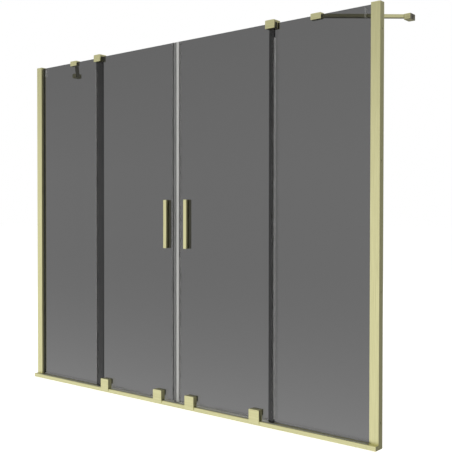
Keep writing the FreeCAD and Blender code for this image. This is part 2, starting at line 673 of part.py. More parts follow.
def stay_bar(side, word):
    """Flat bar from the stay clamp to the wall bracket, cut flush with both."""
    piece = start(f"{word}_stay_bar")
    place(piece, x=sided(side, STAY), y=STAY_BACK, z=f"{STAY_LEVEL} - stay_bar_height / 2")
    near = f"stay_bar_width / 2 * {STAY_LENGTH} / {STAY_RISE}"
    far = f"stay_bar_width / 2 * {STAY_LENGTH} / {STAY_RUN}"
    end = sided(side, STAY_RUN)
    outline = (
        (sided(-side, near), "0"), (sided(side, near), "0"),
        (end, f"{STAY_RISE} - {far}"), (end, f"{STAY_RISE} + {far}"),
    )
    pad(piece, "XY_Plane", [outline], "stay_bar_height")
    radius = "stay_stud_radius + screw_clearance"
    pocket(piece, "XZ_Plane", [], "stay_stud_bite", 1, [("0", "stay_bar_height / 2", radius)])
    hole = [(STAY_RISE, "stay_bar_height / 2", radius)]
    pocket(piece, "YZ_Plane", [], "stay_stud_bite", -side, hole, offset=end)
    longest = max(edge.Length for edge in piece.Shape.Edges) / 2
    soften(piece, "Fillet", "Radius", "stay_bar_edge", lambda edge, box: edge.Length > longest)
    return piece


def stay_bracket(side, word):
    """Block on the side wall, hollow behind for its wall plate."""
    piece = start(f"{word}_stay_bracket")
    place(piece, x=sided(side, HALF), y=BRACKET, z=BRACKET_LEVEL)
    body = rectangle("0", "-bracket_depth / 2", sided(-side, "bracket_width"), "bracket_depth / 2")
    pad(piece, "XY_Plane", [body], "bracket_height", both=True)
    half = "recess_size / 2"
    recess = rectangle(f"-{half}", f"-{half}", half, half)
    pocket(piece, "YZ_Plane", [recess], "recess_depth", -side)
    hole = [("-bracket_setback", "bracket_drop", "stay_stud_radius + screw_clearance")]
    pocket(piece, "YZ_Plane", [], "stay_stud_bite", side, hole, offset=sided(-side, "bracket_width"))
    hole = [(sided(-side, "wall_plate_thickness / 2"), "0", "wall_plate_grub + screw_clearance")]
    depth = "(bracket_height - recess_size) / 2"
    pocket(piece, "XY_Plane", [], depth, 1, hole, offset="-bracket_height / 2")
    soften(piece, "Fillet", "Radius", "bracket_edge", off_the_wall)
    return piece


def wall_plate(side, word):
    """Plate that is screwed to the wall and carries the bracket."""
    piece = start(f"{word}_wall_plate")
    place(piece, x=sided(side, HALF), y=BRACKET, z=BRACKET_LEVEL)
    half = "(recess_size / 2 - plug_clearance)"
    plate = rectangle(f"-{half}", f"-{half}", half, half)
    pad(piece, "YZ_Plane", [plate], "wall_plate_thickness", -side, [("0", "0", "wall_hole_radius")])
    return piece


def bracket_grub(side, word):
    """Grub screw that locks the bracket on its wall plate from below."""
    across = sided(side, f"{HALF} - wall_plate_thickness / 2")
    length = "(bracket_height - recess_size) / 2 + plug_clearance"
    end = (across, BRACKET, f"{BRACKET_LEVEL} - bracket_height / 2")
    return rod(f"{word}_bracket_grub", "wall_plate_grub", length, UPWARDS, end)


def stay_studs(side, word):
    """Studs that hold the bar to its clamp and to its bracket."""
    length = "2 * stay_stud_bite"
    end = (sided(side, STAY), f"{STAY_BACK} - stay_stud_bite", STAY_LEVEL)
    clamp_stud = rod(f"{word}_clamp_stud", "stay_stud_radius", length, ALONG_Y, end)
    across = f"{side} * ({HALF} - bracket_width) - stay_stud_bite"
    end = (across, "bracket_reach", STAY_LEVEL)
    bracket_stud = rod(f"{word}_bracket_stud", "stay_stud_radius", length, ALONG_X, end)
    return [clamp_stud, bracket_stud]


CARRIAGES = (("outer", CARRIAGE_OUTER), ("inner", CARRIAGE_INNER))


def screw_places(side):
    """Where the carriage screws pass through a door's glass."""
    return [
        f"{side} * {middle} + {end} * carriage_screw_spacing / 2"
        for name, middle in CARRIAGES
        for end in (-1, 1)
    ]


def stud_levels():
    """Heights of the two studs of a handle."""
    return [f"handle_level + {end} * handle_stud_spacing / 2" for end in (-1, 1)]


def door_glass(side, word):
    """Sliding pane with holes for its handle and its carriages."""
    piece = start(f"{word}_door_glass")
    place(piece)
    pane = rectangle(sided(side, DOOR_INNER), DOOR_BOTTOM, sided(side, DOOR_OUTER), DOOR_TOP)
    holes = [(across, SCREW_LEVEL, "glass_hole_radius") for across in screw_places(side)]
    holes += [(sided(side, HANDLE), level, "glass_hole_radius") for level in stud_levels()]
    pad(piece, "XZ_Plane", [pane], "glass_thickness", 1, holes)
    soften(piece, "Chamfer", "Size", "glass_arris", pane_edge)
    return piece


def handle(side, word, name, face, toward):
    """Handle bar on one face of a door, with blind holes for its studs."""
    piece = start(f"{word}_{name}_handle")
    place(piece, x=sided(side, HANDLE), y=face, z="handle_level")
    bar = rectangle("-handle_width / 2", "-handle_height / 2", "handle_width / 2", "handle_height / 2")
    pad(piece, "XZ_Plane", [bar], f"{name}_handle_depth", toward)
    soften(piece, "Fillet", "Radius", "handle_edge", straight_edge)
    radius = "handle_stud_radius + screw_clearance"
    holes = [("0", f"{end} * handle_stud_spacing / 2", radius) for end in (-1, 1)]
    pocket(piece, "XZ_Plane", [], "handle_stud_bite", toward, holes)
    return piece


def handle_studs(side, word):
    """Studs that join the two handle bars through the glass."""
    length = "glass_thickness + 2 * (pad_thickness + handle_stud_bite)"
    face = "-(pad_thickness + handle_stud_bite)"
    return [
        rod(f"{word}_handle_stud", "handle_stud_radius", length, ALONG_Y, (sided(side, HANDLE), face, level))
        for level in stud_levels()
    ]


def handle_washers(side, word):
    """Soft washers between the handle bars and the glass."""
    rings = []
    for level in stud_levels():
        for face in ("-pad_thickness", "glass_thickness"):
            piece = start(f"{word}_handle_washer")
            place(piece, x=sided(side, HANDLE), y=face, z=level)
            circles = [("0", "0", "washer_radius"), ("0", "0", "handle_stud_radius + screw_clearance")]
            pad(piece, "XZ_Plane", [], "pad_thickness", 1, circles)
            rings.append(piece)
    return rings


def carriage(side, word, name, middle):
    """Block in front of the glass that houses a roller and skirts the rail."""
    piece = start(f"{word}_{name}_carriage")
    place(piece, x=sided(side, middle))
    groove = "rib_width / 2 + roller_room"
    crown = "rail_height + rib_height + roller_room"
    skirt = "-(rail_front + skirt_gap)"
    outline = (
        (f"-{CARRIAGE_FRONT}", "skirt_level"), (skirt, "skirt_level"), (skirt, CARRIAGE_BASE),
        (f"-{RIB} - ({groove})", CARRIAGE_BASE), (f"-{RIB} - ({groove})", crown),
        (f"-{RIB} + {groove}", crown), (f"-{RIB} + {groove}", CARRIAGE_BASE),
        ("-pad_thickness", CARRIAGE_BASE), ("-pad_thickness", CARRIAGE_TOP),
        (f"-{CARRIAGE_FRONT}", CARRIAGE_TOP),
    )
    pad(piece, "YZ_Plane", [outline], "carriage_width", both=True)
    across = f"({ROLLER_EDGE} + roller_room)"
    side_room = "(roller_width / 2 + roller_side_play)"
    well = rectangle(f"-{across}", f"-{RIB} - {side_room}", across, f"-{RIB} + {side_room}")
    pocket(piece, "XY_Plane", [well], f"{ROLLER_LEVEL} + {across}", 1)
    seat = [("0", ROLLER_LEVEL, "axle_radius + axle_clearance")]
    depth = f"{CARRIAGE_FRONT} - axle_cover - pad_thickness"
    pocket(piece, "XZ_Plane", [], depth, -1, seat, offset="-pad_thickness")
    radius = "carriage_screw_radius + screw_clearance"
    holes = [(f"{end} * carriage_screw_spacing / 2", SCREW_LEVEL, radius) for end in (-1, 1)]
    pocket(piece, "XZ_Plane", [], "carriage_screw_bite", -1, holes, offset="-pad_thickness")
    soften(piece, "Fillet", "Radius", "carriage_corner", upper_corner)
    soften(piece, "Fillet", "Radius", "carriage_edge", on_front)
    return piece


def pad_sheet(side, label, middle, face, thickness, hole_radius):
    """A plate with two holes, as large as a carriage's pad."""
    piece = start(label)
    place(piece, x=sided(side, middle), y=face)
    sheet_outline = rectangle("-pad_width / 2", f"{PAD_TOP} - pad_height", "pad_width / 2", PAD_TOP)
    holes = [(f"{end} * carriage_screw_spacing / 2", SCREW_LEVEL, hole_radius) for end in (-1, 1)]
    pad(piece, "XZ_Plane", [sheet_outline], thickness, 1, holes)
    return piece


def carriage_pads(side, word):
    """Soft pads on both faces of the glass at each carriage."""
    radius = "carriage_screw_radius + screw_clearance"
    return [
        pad_sheet(side, f"{word}_carriage_pad", middle, face, "pad_thickness", radius)
        for name, middle in CARRIAGES
        for face in ("-pad_thickness", "glass_thickness")
    ]


def back_plates(side, word):
    """Thin plates behind the glass that the carriage screws pull on."""
    plates = []
    for name, middle in CARRIAGES:
        radius = "carriage_screw_radius + screw_clearance"
        plate = pad_sheet(side, f"{word}_back_plate", middle, PLATE_FRONT, "plate_thickness", radius)
        soften(plate, "Chamfer", "Size", "countersink", countersunk)
        plates.append(plate)
    return plates


def countersunk(edge, box):
    """The rims of the holes on the back of a plate."""
    return not straight(edge) and abs(edge.BoundBox.YMin - box.YMax) < SAME


def carriage_screws(side, word):
    """Countersunk screws from the back plates through the glass into the carriages."""
    screws = []
    tip = "-(pad_thickness + carriage_screw_bite)"
    neck = f"{PLATE_BACK} - countersink"
    for across in screw_places(side):
        name = f"{word}_carriage_screw"
        end = (across, tip, SCREW_LEVEL)
        shank = rod(f"{name}_shank", "carriage_screw_radius", f"{neck} - ({tip})", ALONG_Y, end)
        head = doc.addObject("Part::Cone", f"{name}_head")
        bind(head, "Radius1", "carriage_screw_radius")
        bind(head, "Radius2", "carriage_screw_radius + countersink")
        bind(head, "Height", "countersink")
        head.Placement.Rotation = Rotation(UPWARDS, ALONG_Y)
        place(head, across, neck, SCREW_LEVEL)
        screws.append(join(name, shank, head))
    return screws


def roller_axles(side, word):
    """Axles that carry the rollers in their carriages."""
    length = f"{CARRIAGE_FRONT} - axle_cover - axle_inset"
    ends = [(sided(side, middle), "-axle_inset", ROLLER_LEVEL) for name, middle in CARRIAGES]
    return [rod(f"{word}_axle", "axle_radius", length, BACKWARDS, end) for end in ends]


def roller(side, word, name, middle):
    """Grooved roller that turns on its axle and runs on the rail's rib."""
    piece = start(f"{word}_{name}_roller")
    place(piece, x=sided(side, middle), y=f"-{RIB}", z=ROLLER_LEVEL)
    half = "roller_width / 2"
    groove = "(rib_width / 2 + groove_play)"
    bore = "axle_radius + axle_clearance"
    outline = (
        (f"-{half}", bore), (half, bore), (half, ROLLER_EDGE), (groove, ROLLER_EDGE),
        (groove, "roller_radius"), (f"-{groove}", "roller_radius"), (f"-{groove}", ROLLER_EDGE),
        (f"-{half}", ROLLER_EDGE),
    )
    feature = piece.newObject("PartDesign::Revolution", f"{piece.Name}_turned")
    drawing = draw(piece, "YZ_Plane", [outline])
    feature.Profile = drawing
    feature.ReferenceAxis = (drawing, ["H_Axis"])
    feature.Angle = 360
    piece.Tip = feature
    return piece


def magnetic_seal(side, word):
    """Clip-on seal with a magnet bar, on the edge where the doors meet."""
    piece = start(f"{word}_magnetic_seal")
    place(piece, z=f"{DOOR_BOTTOM} + seal_grip")
    tail = sided(side, f"{DOOR_INNER} + seal_grip")
    edge = sided(side, DOOR_INNER)
    back = sided(side, f"{DOOR_INNER} - seal_wall")
    neck = sided(side, f"{DOOR_INNER} - 2 * seal_wall")
    nose = sided(side, "magnet_gap / 2")
    deep = "glass_thickness"
    outline = (
        (tail, "-seal_wall"), (back, "-seal_wall"), (neck, "0"), (nose, "0"), (nose, deep),
        (neck, deep), (back, f"{deep} + seal_wall"), (tail, f"{deep} + seal_wall"), (tail, deep),
        (edge, deep), (edge, "0"), (tail, "0"),
    )
    pad(piece, "XY_Plane", [outline], f"{DOOR_TOP} - {DOOR_BOTTOM} - seal_grip")
    foot = rectangle(nose, "0", neck, deep)
    pad(piece, "XY_Plane", [foot], f"{DOOR_BOTTOM} + seal_grip - rail_height - drip_gap", -1)
    return piece


def lip_seal(side, word):
    """Clip-on seal whose lip closes the gap to the fixed pane."""
    piece = start(f"{word}_lip_seal")
    place(piece, z=f"{DOOR_BOTTOM} + seal_grip")
    tail = sided(side, f"{DOOR_OUTER} - seal_grip")
    edge = sided(side, DOOR_OUTER)
    back = sided(side, f"{DOOR_OUTER} + seal_wall")
    root = "glass_thickness + seal_wall"
    tip = f"{FIXED_FRONT} - lip_clearance"
    lip_near = sided(side, f"{DOOR_OUTER} + lip_reach")
    lip_far = sided(side, f"{DOOR_OUTER} + lip_reach + seal_wall")
    outline = (
        (tail, "-seal_wall"), (back, "-seal_wall"), (back, root), (lip_far, tip), (lip_near, tip),
        (edge, root), (tail, root), (tail, "glass_thickness"), (edge, "glass_thickness"),
        (edge, "0"), (tail, "0"),
    )
    pad(piece, "XY_Plane", [outline], f"{GUIDE_BOTTOM} - lip_drop - {DOOR_BOTTOM} - seal_grip")
    return piece


def drip_seal(side, word):
    """Clip-on seal along the lower edge of a door's glass."""
    piece = start(f"{word}_drip_seal")
    place(piece, x=sided(side, DOOR_INNER))
    front = "-seal_wall"
    back = "glass_thickness + seal_wall"
    low = "rail_height + drip_gap"
    high = f"{DOOR_BOTTOM} + seal_grip - seal_wall"
    outline = (
        (front, low), (back, low), (back, high), ("glass_thickness", high), ("glass_thickness", DOOR_BOTTOM),
        ("0", DOOR_BOTTOM), ("0", high), (front, high),
    )
    pad(piece, "YZ_Plane", [outline], f"{DOOR_OUTER} - {DOOR_INNER}", toward=side)
    return piece


nodes = [bottom_rail(), sill_filler()]
shared = {
    "profile_caps": [], "lock_screws": [], "glazing_gaskets": [], "sill_gaskets": [],
    "clamp_pads": [], "grub_screws": [], "stay_fixings": [], "door_stops": [],
}
for side, word in SIDES:
    nodes += [wall_channel(side, word), wall_profile(side, word)]
    nodes += [rail_cap(side, word), fixed_glass(side, word)]
    nodes += [top_guide(side, word), guide_liner(side, word)]
    nodes += [stay_clamp(side, word), stay_bar(side, word), stay_bracket(side, word)]
    shared["profile_caps"].append(profile_cap(side, word))
    shared["lock_screws"] += lock_screws(side, word)
    shared["glazing_gaskets"].append(glazing_gasket(side, word))
    shared["sill_gaskets"].append(sill_gasket(side, word))
    shared["clamp_pads"].append(clamp_pad(side, word, GUIDE, "guide_width", GUIDE_BOTTOM))
    shared["clamp_pads"].append(clamp_pad(side, word, STAY, "stay_clamp_width", STAY_BOTTOM))
    shared["grub_screws"] += clamp_grubs(side, word, GUIDE, GUIDE_BOTTOM, GUIDE_BACK, "guide_back_leg")
    shared["grub_screws"] += clamp_grubs(side, word, STAY, STAY_BOTTOM, STAY_BACK, "stay_back_leg")
    shared["grub_screws"].append(bracket_grub(side, word))
    shared["stay_fixings"] += stay_studs(side, word) + [wall_plate(side, word)]
    shared["door_stops"].append(door_stop(side, word))

    nodes += [door_glass(side, word), magnetic_seal(side, word), lip_seal(side, word), drip_seal(side, word)]
    nodes.append(handle(side, word, "outer", "-pad_thickness", -1))
    nodes.append(handle(side, word, "inner", "glass_thickness + pad_thickness", 1))
    nodes.append(group(f"{word}_handle_studs", handle_studs(side, word)))
    nodes.append(group(f"{word}_handle_washers", handle_washers(side, word)))
    for name, middle in CARRIAGES:
        nodes.append(carriage(side, word, name, middle))
        nodes.append(roller(side, word, name, middle))
    nodes.append(group(f"{word}_carriage_pads", carriage_pads(side, word)))
    nodes.append(group(f"{word}_back_plates", back_plates(side, word)))
    nodes.append(group(f"{word}_carriage_screws", carriage_screws(side, word)))
    nodes.append(group(f"{word}_roller_axles", roller_axles(side, word)))
nodes += [group(label, members) for label, members in shared.items()]

doc.recompute()
failed = [item.Label for item in doc.Objects if "Invalid" in item.State or "Error" in item.State]
failed += [node.Label for node in nodes if node.Shape.isNull() or not node.Shape.isValid()]
if failed:
    raise RuntimeError("these did not build: " + ", ".join(failed))

os.makedirs("parts", exist_ok=True)
for node in nodes:
    node.Shape.exportStep(f"parts/{node.Label}.step")
print(len(nodes), "nodes,", sum(len(node.Shape.Solids) for node in nodes), "solids")
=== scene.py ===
# %% [markdown]
# # A sliding bath screen in brushed gold and grey glass
#
# The screen stands between two walls on the rim of a bath. Two fixed panes sit in wall profiles,
# and two doors meet in the middle and slide outwards in front of them on small rollers.
# The CAD model gives every piece at its true size. This lesson dresses it: it mixes the finishes,
# breaks the sharp edges that CAD leaves, makes the seals as the clear strips that they are,
# and cuts the key sockets into the screws.

# %% Load the CAD model
import json
import math

import bmesh
import bpy
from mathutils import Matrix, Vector


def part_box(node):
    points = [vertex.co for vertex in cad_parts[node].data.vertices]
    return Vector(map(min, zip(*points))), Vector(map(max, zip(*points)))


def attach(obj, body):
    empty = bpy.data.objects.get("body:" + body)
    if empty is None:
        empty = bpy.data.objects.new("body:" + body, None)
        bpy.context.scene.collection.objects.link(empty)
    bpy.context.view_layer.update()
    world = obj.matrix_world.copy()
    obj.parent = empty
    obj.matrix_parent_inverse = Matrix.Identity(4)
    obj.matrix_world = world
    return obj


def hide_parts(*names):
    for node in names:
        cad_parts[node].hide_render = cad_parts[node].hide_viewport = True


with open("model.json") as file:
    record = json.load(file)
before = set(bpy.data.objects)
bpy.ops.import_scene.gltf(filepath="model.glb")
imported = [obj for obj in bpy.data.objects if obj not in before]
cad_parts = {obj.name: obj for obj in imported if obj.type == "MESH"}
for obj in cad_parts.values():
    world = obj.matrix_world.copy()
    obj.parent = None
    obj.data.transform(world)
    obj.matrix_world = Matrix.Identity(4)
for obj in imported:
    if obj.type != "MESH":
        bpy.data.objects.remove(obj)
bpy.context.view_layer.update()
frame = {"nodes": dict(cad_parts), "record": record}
nodes = frame["nodes"]

# %% [markdown]
# ## Recipes for finishes
#
# A finish in Blender is a net of small nodes. One makes a pattern, others turn it into colours,
# and the last one, the shader, answers the light. Such a net can be drawn by hand in the shader
# editor. Here it is written down, because one net then serves many pieces with other numbers.
# A recipe adds nodes to a net and feeds their sockets, with a plain value or from another node.

# %% A recipe that adds nodes and feeds their sockets
class Recipe:
    """A net of nodes that is put together step by step."""

    def __init__(self, tree):
        self.tree = tree

    def feed(self, node, feeds):
        """Gives sockets of a node plain values, or links other nodes' outputs to them."""
        for name, value in feeds.items():
            socket = node.inputs[name]
            if isinstance(value, bpy.types.NodeSocket):
                self.tree.links.new(value, socket)
            elif socket.type == "RGBA":
                socket.default_value = (*value, 1.0)
            else:
                socket.default_value = value

    def add(self, kind, feeds=None, **settings):
        """A new node with its settings, fed at its sockets."""
        node = self.tree.nodes.new("ShaderNode" + kind)
        for key, value in settings.items():
            setattr(node, key, value)
        self.feed(node, feeds or {})
        return node


def new_finish(name):
    """A new material, its shader, and the recipe for its net."""
    material = bpy.data.materials.new(name)
    material.use_nodes = True
    tree = material.node_tree
    return material, tree.nodes["Principled BSDF"], Recipe(tree)


print("steps of a recipe:", [step for step in vars(Recipe) if not step.startswith("_")])

# %% [markdown]
# ## Clear plastic
#
# The clips on the edges of the glass, the pads under the fittings and the door stops are soft clear
# plastic. With the bend of real plastic, such thin strips get dark rims, and in the photograph they
# nearly vanish, so they bend light less here. Light that is lost inside tints a strip by its
# depth. Some plastics have a milky share: it scatters a little light, so that they show as faint
# light lines on the dark glass.

# %% Clear, smoky and milky plastic
CLEAR = (0.97, 0.97, 0.96)
BLACK = (0.0, 0.0, 0.0)
PLASTIC_ROUGHNESS = 0.03


def soak_up(recipe, density):
    """Lets a clear finish take light away along each ray's path inside it."""
    loss = recipe.add("VolumeAbsorption", {"Color": BLACK, "Density": density})
    recipe.feed(recipe.tree.nodes["Material Output"], {"Volume": loss.outputs["Volume"]})


def clear_plastic(name, density, bend, milky=0.0):
    """Soft plastic that is seen through, with a grey tint of some density and a milky share."""
    material, shader, recipe = new_finish(name)
    recipe.feed(shader, {
        "Base Color": CLEAR,
        "Transmission Weight": 1.0 - milky,
        "Roughness": PLASTIC_ROUGHNESS,
        "IOR": bend,
    })
    soak_up(recipe, density)
    return material


clear_seal = clear_plastic("seal_clear", density=12.0, bend=1.06)
smoky_seal = clear_plastic("seal_smoky", density=90.0, bend=1.1)
milky_seal = clear_plastic("seal_milky", density=4.0, bend=1.02, milky=0.16)
clear_pad = clear_plastic("pad_clear", density=30.0, bend=1.2)
milky_pad = clear_plastic("pad_milky", density=4.0, bend=1.02, milky=0.06)
plastics = (clear_seal, smoky_seal, milky_seal, clear_pad, milky_pad)
print("plastics:", ", ".join(plastic.name for plastic in plastics))

# %% [markdown]
# ## Tinted glass
#
# Grey glass is coloured all through, so a pane is grey from the front and nearly black at its
# edges, where light has come a long way inside. A colour on the surface alone leaves the edges
# pale. Loss inside alone makes the grey change with the angle of view. The pane has both: its
# colour carries most of the grey, and the loss blackens the edges. Where two panes overlap they get
# darker by themselves. In the photograph the grey is lighter towards the floor, where the bright
# floor is reflected, so painted light blends the colour lighter by height towards the foot.

# %% Values and colours that change over a piece
def height_of(recipe):
    """The height on the object, in metres."""
    place = recipe.add("TexCoord")
    split = recipe.add("SeparateXYZ", {"Vector": place.outputs["Object"]})
    return split.outputs["Z"]


def spread(recipe, value, span, low=0.0, high=1.0):
    """A value that runs from low to high while another one runs over a span."""
    start, end = span
    stretch = recipe.add("MapRange", {
        "Value": value, "From Min": start, "From Max": end, "To Min": low, "To Max": high,
    })
    return stretch.outputs["Result"]


def blend(recipe, share, first, second):
    """A colour between two, which are plain colours or come from other nodes."""
    mix = recipe.add("Mix", {"Factor": share, "A": first, "B": second}, data_type="RGBA")
    return mix.outputs["Result"]


# %% Grey glass with painted light: lighter towards its foot
GLASS_DENSITY = 60.0
GLASS_BEND = 1.35
TINT_TOP = 0.209
# The lighter grey at the foot is painted light, for the floor's reflection in the glass.
PAINTED_LIGHT_FOOT_TINT = 0.317
TINT_FADE = 0.65
TINT_CURVE = 2.0


def tinted_glass(name):
    """Polished grey glass, with painted light that makes it lighter from TINT_FADE metres down to
    its foot.
    """
    material, shader, recipe = new_finish(name)
    nearness = spread(recipe, height_of(recipe), (0.0, TINT_FADE), 1.0, 0.0)
    painted_light_share = recipe.add("Math", {0: nearness, 1: TINT_CURVE}, operation="POWER")
    recipe.feed(shader, {
        "Base Color": blend(recipe, painted_light_share.outputs["Value"], [TINT_TOP] * 3, [PAINTED_LIGHT_FOOT_TINT] * 3),
        "Transmission Weight": 1.0,
        "Roughness": 0.0,
        "IOR": GLASS_BEND,
    })
    soak_up(recipe, GLASS_DENSITY)
    return material


glass = tinted_glass("glass_grey_tint")
print("glass:", glass.name, "takes light away at", GLASS_DENSITY, "per metre")

# %% [markdown]
# ## Brushed gold
#
# The metal has a champagne gold skin that is brushed in one direction. A picture of scratches would
# stretch over the long profiles, so the brush marks come from noise that is squeezed across the
# brush's way and drawn out along it. The same noise drives three things: a little colour,
# more of the roughness, and a fine relief that breaks up the reflections. Profiles and handles are
# brushed upright, and the rail and the small fittings along the screen.

# %% Noise that is drawn out by a brush, and its relief
MM = 0.001
NOISE_DETAIL = 4.0
NOISE_GRAIN = 0.6
NOISE_SPAN = (0.3, 0.7)
RELIEF_DEPTH = 0.2 * MM


def streaks(recipe, across, along, axis, turn=0.0):
    """Noise with some marks per metre across and along an axis, turned about the upright."""
    place = recipe.add("TexCoord")
    stretch = recipe.add("Mapping", {
        "Vector": place.outputs["Object"],
        "Rotation": (0.0, 0.0, turn),
        "Scale": [1.0 / (along if letter == axis else across) for letter in "XYZ"],
    }, vector_type="TEXTURE")
    noise = recipe.add("TexNoise", {
        "Vector": stretch.outputs["Vector"],
        "Scale": 1.0,
        "Detail": NOISE_DETAIL,
        "Roughness": NOISE_GRAIN,
    })
    return noise.outputs["Fac"]


def relief(recipe, pattern, strength):
    """A surface that a pattern raises and sinks a little."""
    bump = recipe.add("Bump", {
        "Height": pattern, "Strength": strength, "Distance": RELIEF_DEPTH,
    })
    return bump.outputs["Normal"]


print("noise mostly runs from", NOISE_SPAN[0], "to", NOISE_SPAN[1])

# %% Brushed gold, with the brush marks along a chosen axis
GOLD_LIGHT = (0.735, 0.71, 0.40)
GOLD_DEEP = (0.617, 0.594, 0.322)
GOLD_ROUGHNESS = (0.40, 0.28)
GOLD_RELIEF = 0.12
MARKS_ACROSS = 420.0
MARKS_ALONG = 7.0


def brushed_gold(name, axis, turn=0.0, shade=1.0, shaded_area=None):
    """Champagne gold in some shade, with brush marks along an axis.

    The last argument says where painted shade covers the gold: what is measured, the span of values
    over which the gold gives way, and the painted shade colour. A shade below 1 darkens all the
    gold as painted shade.
    """
    material, shader, recipe = new_finish(name)
    marks = streaks(recipe, MARKS_ACROSS, MARKS_ALONG, axis, turn)
    deep, light = ([shade * part for part in gold] for gold in (GOLD_DEEP, GOLD_LIGHT))
    colour = blend(recipe, spread(recipe, marks, NOISE_SPAN), deep, light)
    # Painted shade: over the measured span the gold gives way to a darker colour.
    if shaded_area:
        measure, span, metal = shaded_area
        colour = blend(recipe, spread(recipe, measure(recipe), span), colour, metal)
    recipe.feed(shader, {
        "Base Color": colour,
        "Metallic": 1.0,
        "Roughness": spread(recipe, marks, NOISE_SPAN, *GOLD_ROUGHNESS),
        "Normal": relief(recipe, marks, GOLD_RELIEF),
    })
    return material


gold_upright = brushed_gold("gold_brushed_upright", "Z")
gold_level = brushed_gold("gold_brushed_level", "X")
print("gold:", gold_upright.name, "and", gold_level.name)

# %% [markdown]
# ## Gold with painted shade, and turned gold
#
# Three kinds of pieces have a gold of their own. On the rail's running rib, painted shade turns the
# gold a dull grey, so that the rib doesn't catch a bright reflection. The brackets of the stays get
# painted shade on the face that looks towards a wall. The stay bars slant from the wall to the
# glass, so their brush marks turn with them, and their gold is darkened all over as painted shade,
# for the shade on the bars behind the grey glass. Painting these areas by hand would tie them to
# one size of screen. Instead the finish measures the height on the rail and the direction of the
# bracket's faces.

# %% Gold of the rail, the bars and the brackets
SIDES = (("left", -1), ("right", 1))
RIB_HEIGHT = 2.5 * MM
RIB_SHADE_FADE = 0.5 * MM
RIB_PAINTED_SHADE = (0.25, 0.25, 0.225)
# Dark colour for the bracket face that looks towards its wall: painted shade.
SIDE_PAINTED_SHADE = (0.34, 0.32, 0.24)
SHADED_SIDE_SPAN = (0.8, 0.95)
# The stay bars' gold is darkened by this factor as painted shade, for the shade behind the grey
# glass.
BAR_PAINTED_SHADE = 0.7


def facing(recipe):
    """How far a face looks along X, from -1 to the left to 1 to the right."""
    surface = recipe.add("NewGeometry")
    split = recipe.add("SeparateXYZ", {"Vector": surface.outputs["Normal"]})
    return split.outputs["X"]


# The running rib at the top of the rail turns dull grey: painted shade against a bright reflection.
rib_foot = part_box("bottom_rail")[1][2] - RIB_HEIGHT
painted_shade_rib = (height_of, (rib_foot, rib_foot + RIB_SHADE_FADE), RIB_PAINTED_SHADE)
gold_rail = brushed_gold("gold_brushed_rail", "X", shaded_area=painted_shade_rib)
bar_low, bar_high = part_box("right_stay_bar")
bar_turn = math.atan2(bar_high[1] - bar_low[1], bar_high[0] - bar_low[0])
own_finish = {"bottom_rail": gold_rail}
for side, sign in SIDES:
    own_finish[f"{side}_stay_bar"] = brushed_gold(
        f"gold_brushed_{side}_bar", "X", turn=sign * bar_turn, shade=BAR_PAINTED_SHADE)
    # The bracket face that looks towards the wall gets the dark colour as painted shade.
    painted_shade_side = (facing, [sign * value for value in SHADED_SIDE_SPAN], SIDE_PAINTED_SHADE)
    own_finish[f"{side}_stay_bracket"] = brushed_gold(
        f"gold_brushed_{side}_bracket", "X", shaded_area=painted_shade_side)
print("pieces with a gold of their own:", len(own_finish))
print("stay bars are turned by", round(math.degrees(bar_turn)), "degrees")

# %% [markdown]
# ## Rubber, nylon, steel and magnets
#
# The small pieces each have a skin of their own, and none is of one even colour. The noise that
# made the brush marks gives them clouds when it is drawn out in no direction. The magnets in the
# closing seals are bars of bonded powder, which the photograph shows as a dull and a bright line
# side by side: the bar on the right door is milky white, and the bar on the left door is a darker
# grey copy of it, painted shade for the shade on the left seal.

# %% Cloudy finishes
CLOUD_RELIEF = 0.1


def cloudy(name, light, dark, roughness, clouds, metallic=0.0):
    """A finish whose colour, roughness and relief vary by some clouds per metre."""
    material, shader, recipe = new_finish(name)
    cloud = streaks(recipe, clouds, clouds, "Z")
    recipe.feed(shader, {
        "Base Color": blend(recipe, spread(recipe, cloud, NOISE_SPAN), dark, light),
        "Metallic": metallic,
        "Roughness": spread(recipe, cloud, NOISE_SPAN, *roughness),
        "Normal": relief(recipe, cloud, CLOUD_RELIEF),
    })
    return material


# Light and dark colour, roughness from and to, clouds per metre, and 1 for metal.
rubber = cloudy("rubber_black", (0.012, 0.012, 0.009), (0.006, 0.006, 0.005), (0.55, 0.7), 300)
nylon = cloudy("nylon_white", (0.72, 0.71, 0.66), (0.64, 0.63, 0.58), (0.4, 0.5), 200)
dark_nylon = cloudy("nylon_black", (0.020, 0.020, 0.018), (0.012, 0.012, 0.011), (0.4, 0.55), 200)
steel = cloudy("steel_plain", (0.55, 0.55, 0.54), (0.42, 0.42, 0.41), (0.25, 0.4), 500, 1.0)
dark_steel = cloudy("steel_dark", (0.21, 0.20, 0.165), (0.17, 0.16, 0.13), (0.35, 0.5), 500, 1.0)
# The grey magnet is a darker copy of the milky one: painted shade.
magnet_painted_shade = cloudy("magnet_painted_shade", (0.20, 0.20, 0.20), (0.17, 0.17, 0.17), (0.5, 0.6), 150)
magnet_milky = cloudy("magnet_milky", (0.60, 0.60, 0.59), (0.55, 0.55, 0.54), (0.45, 0.55), 150)
sealant = cloudy("sealant_grey", (0.19, 0.19, 0.19), (0.16, 0.16, 0.16), (0.4, 0.5), 120)
# Mid grey for the sill gaskets in place of black rubber: painted light for the slot that light
# can't reach.
sill_strip_painted_light = cloudy("strip_grey_painted_light", (0.36, 0.36, 0.355), (0.31, 0.31, 0.305), (0.5, 0.6), 250)
small_finishes = (rubber, nylon, dark_nylon, steel, dark_steel, sealant, sill_strip_painted_light)
print("small finishes:", ", ".join(finish.name for finish in small_finishes))
print("magnets:", magnet_painted_shade.name, "and", magnet_milky.name)

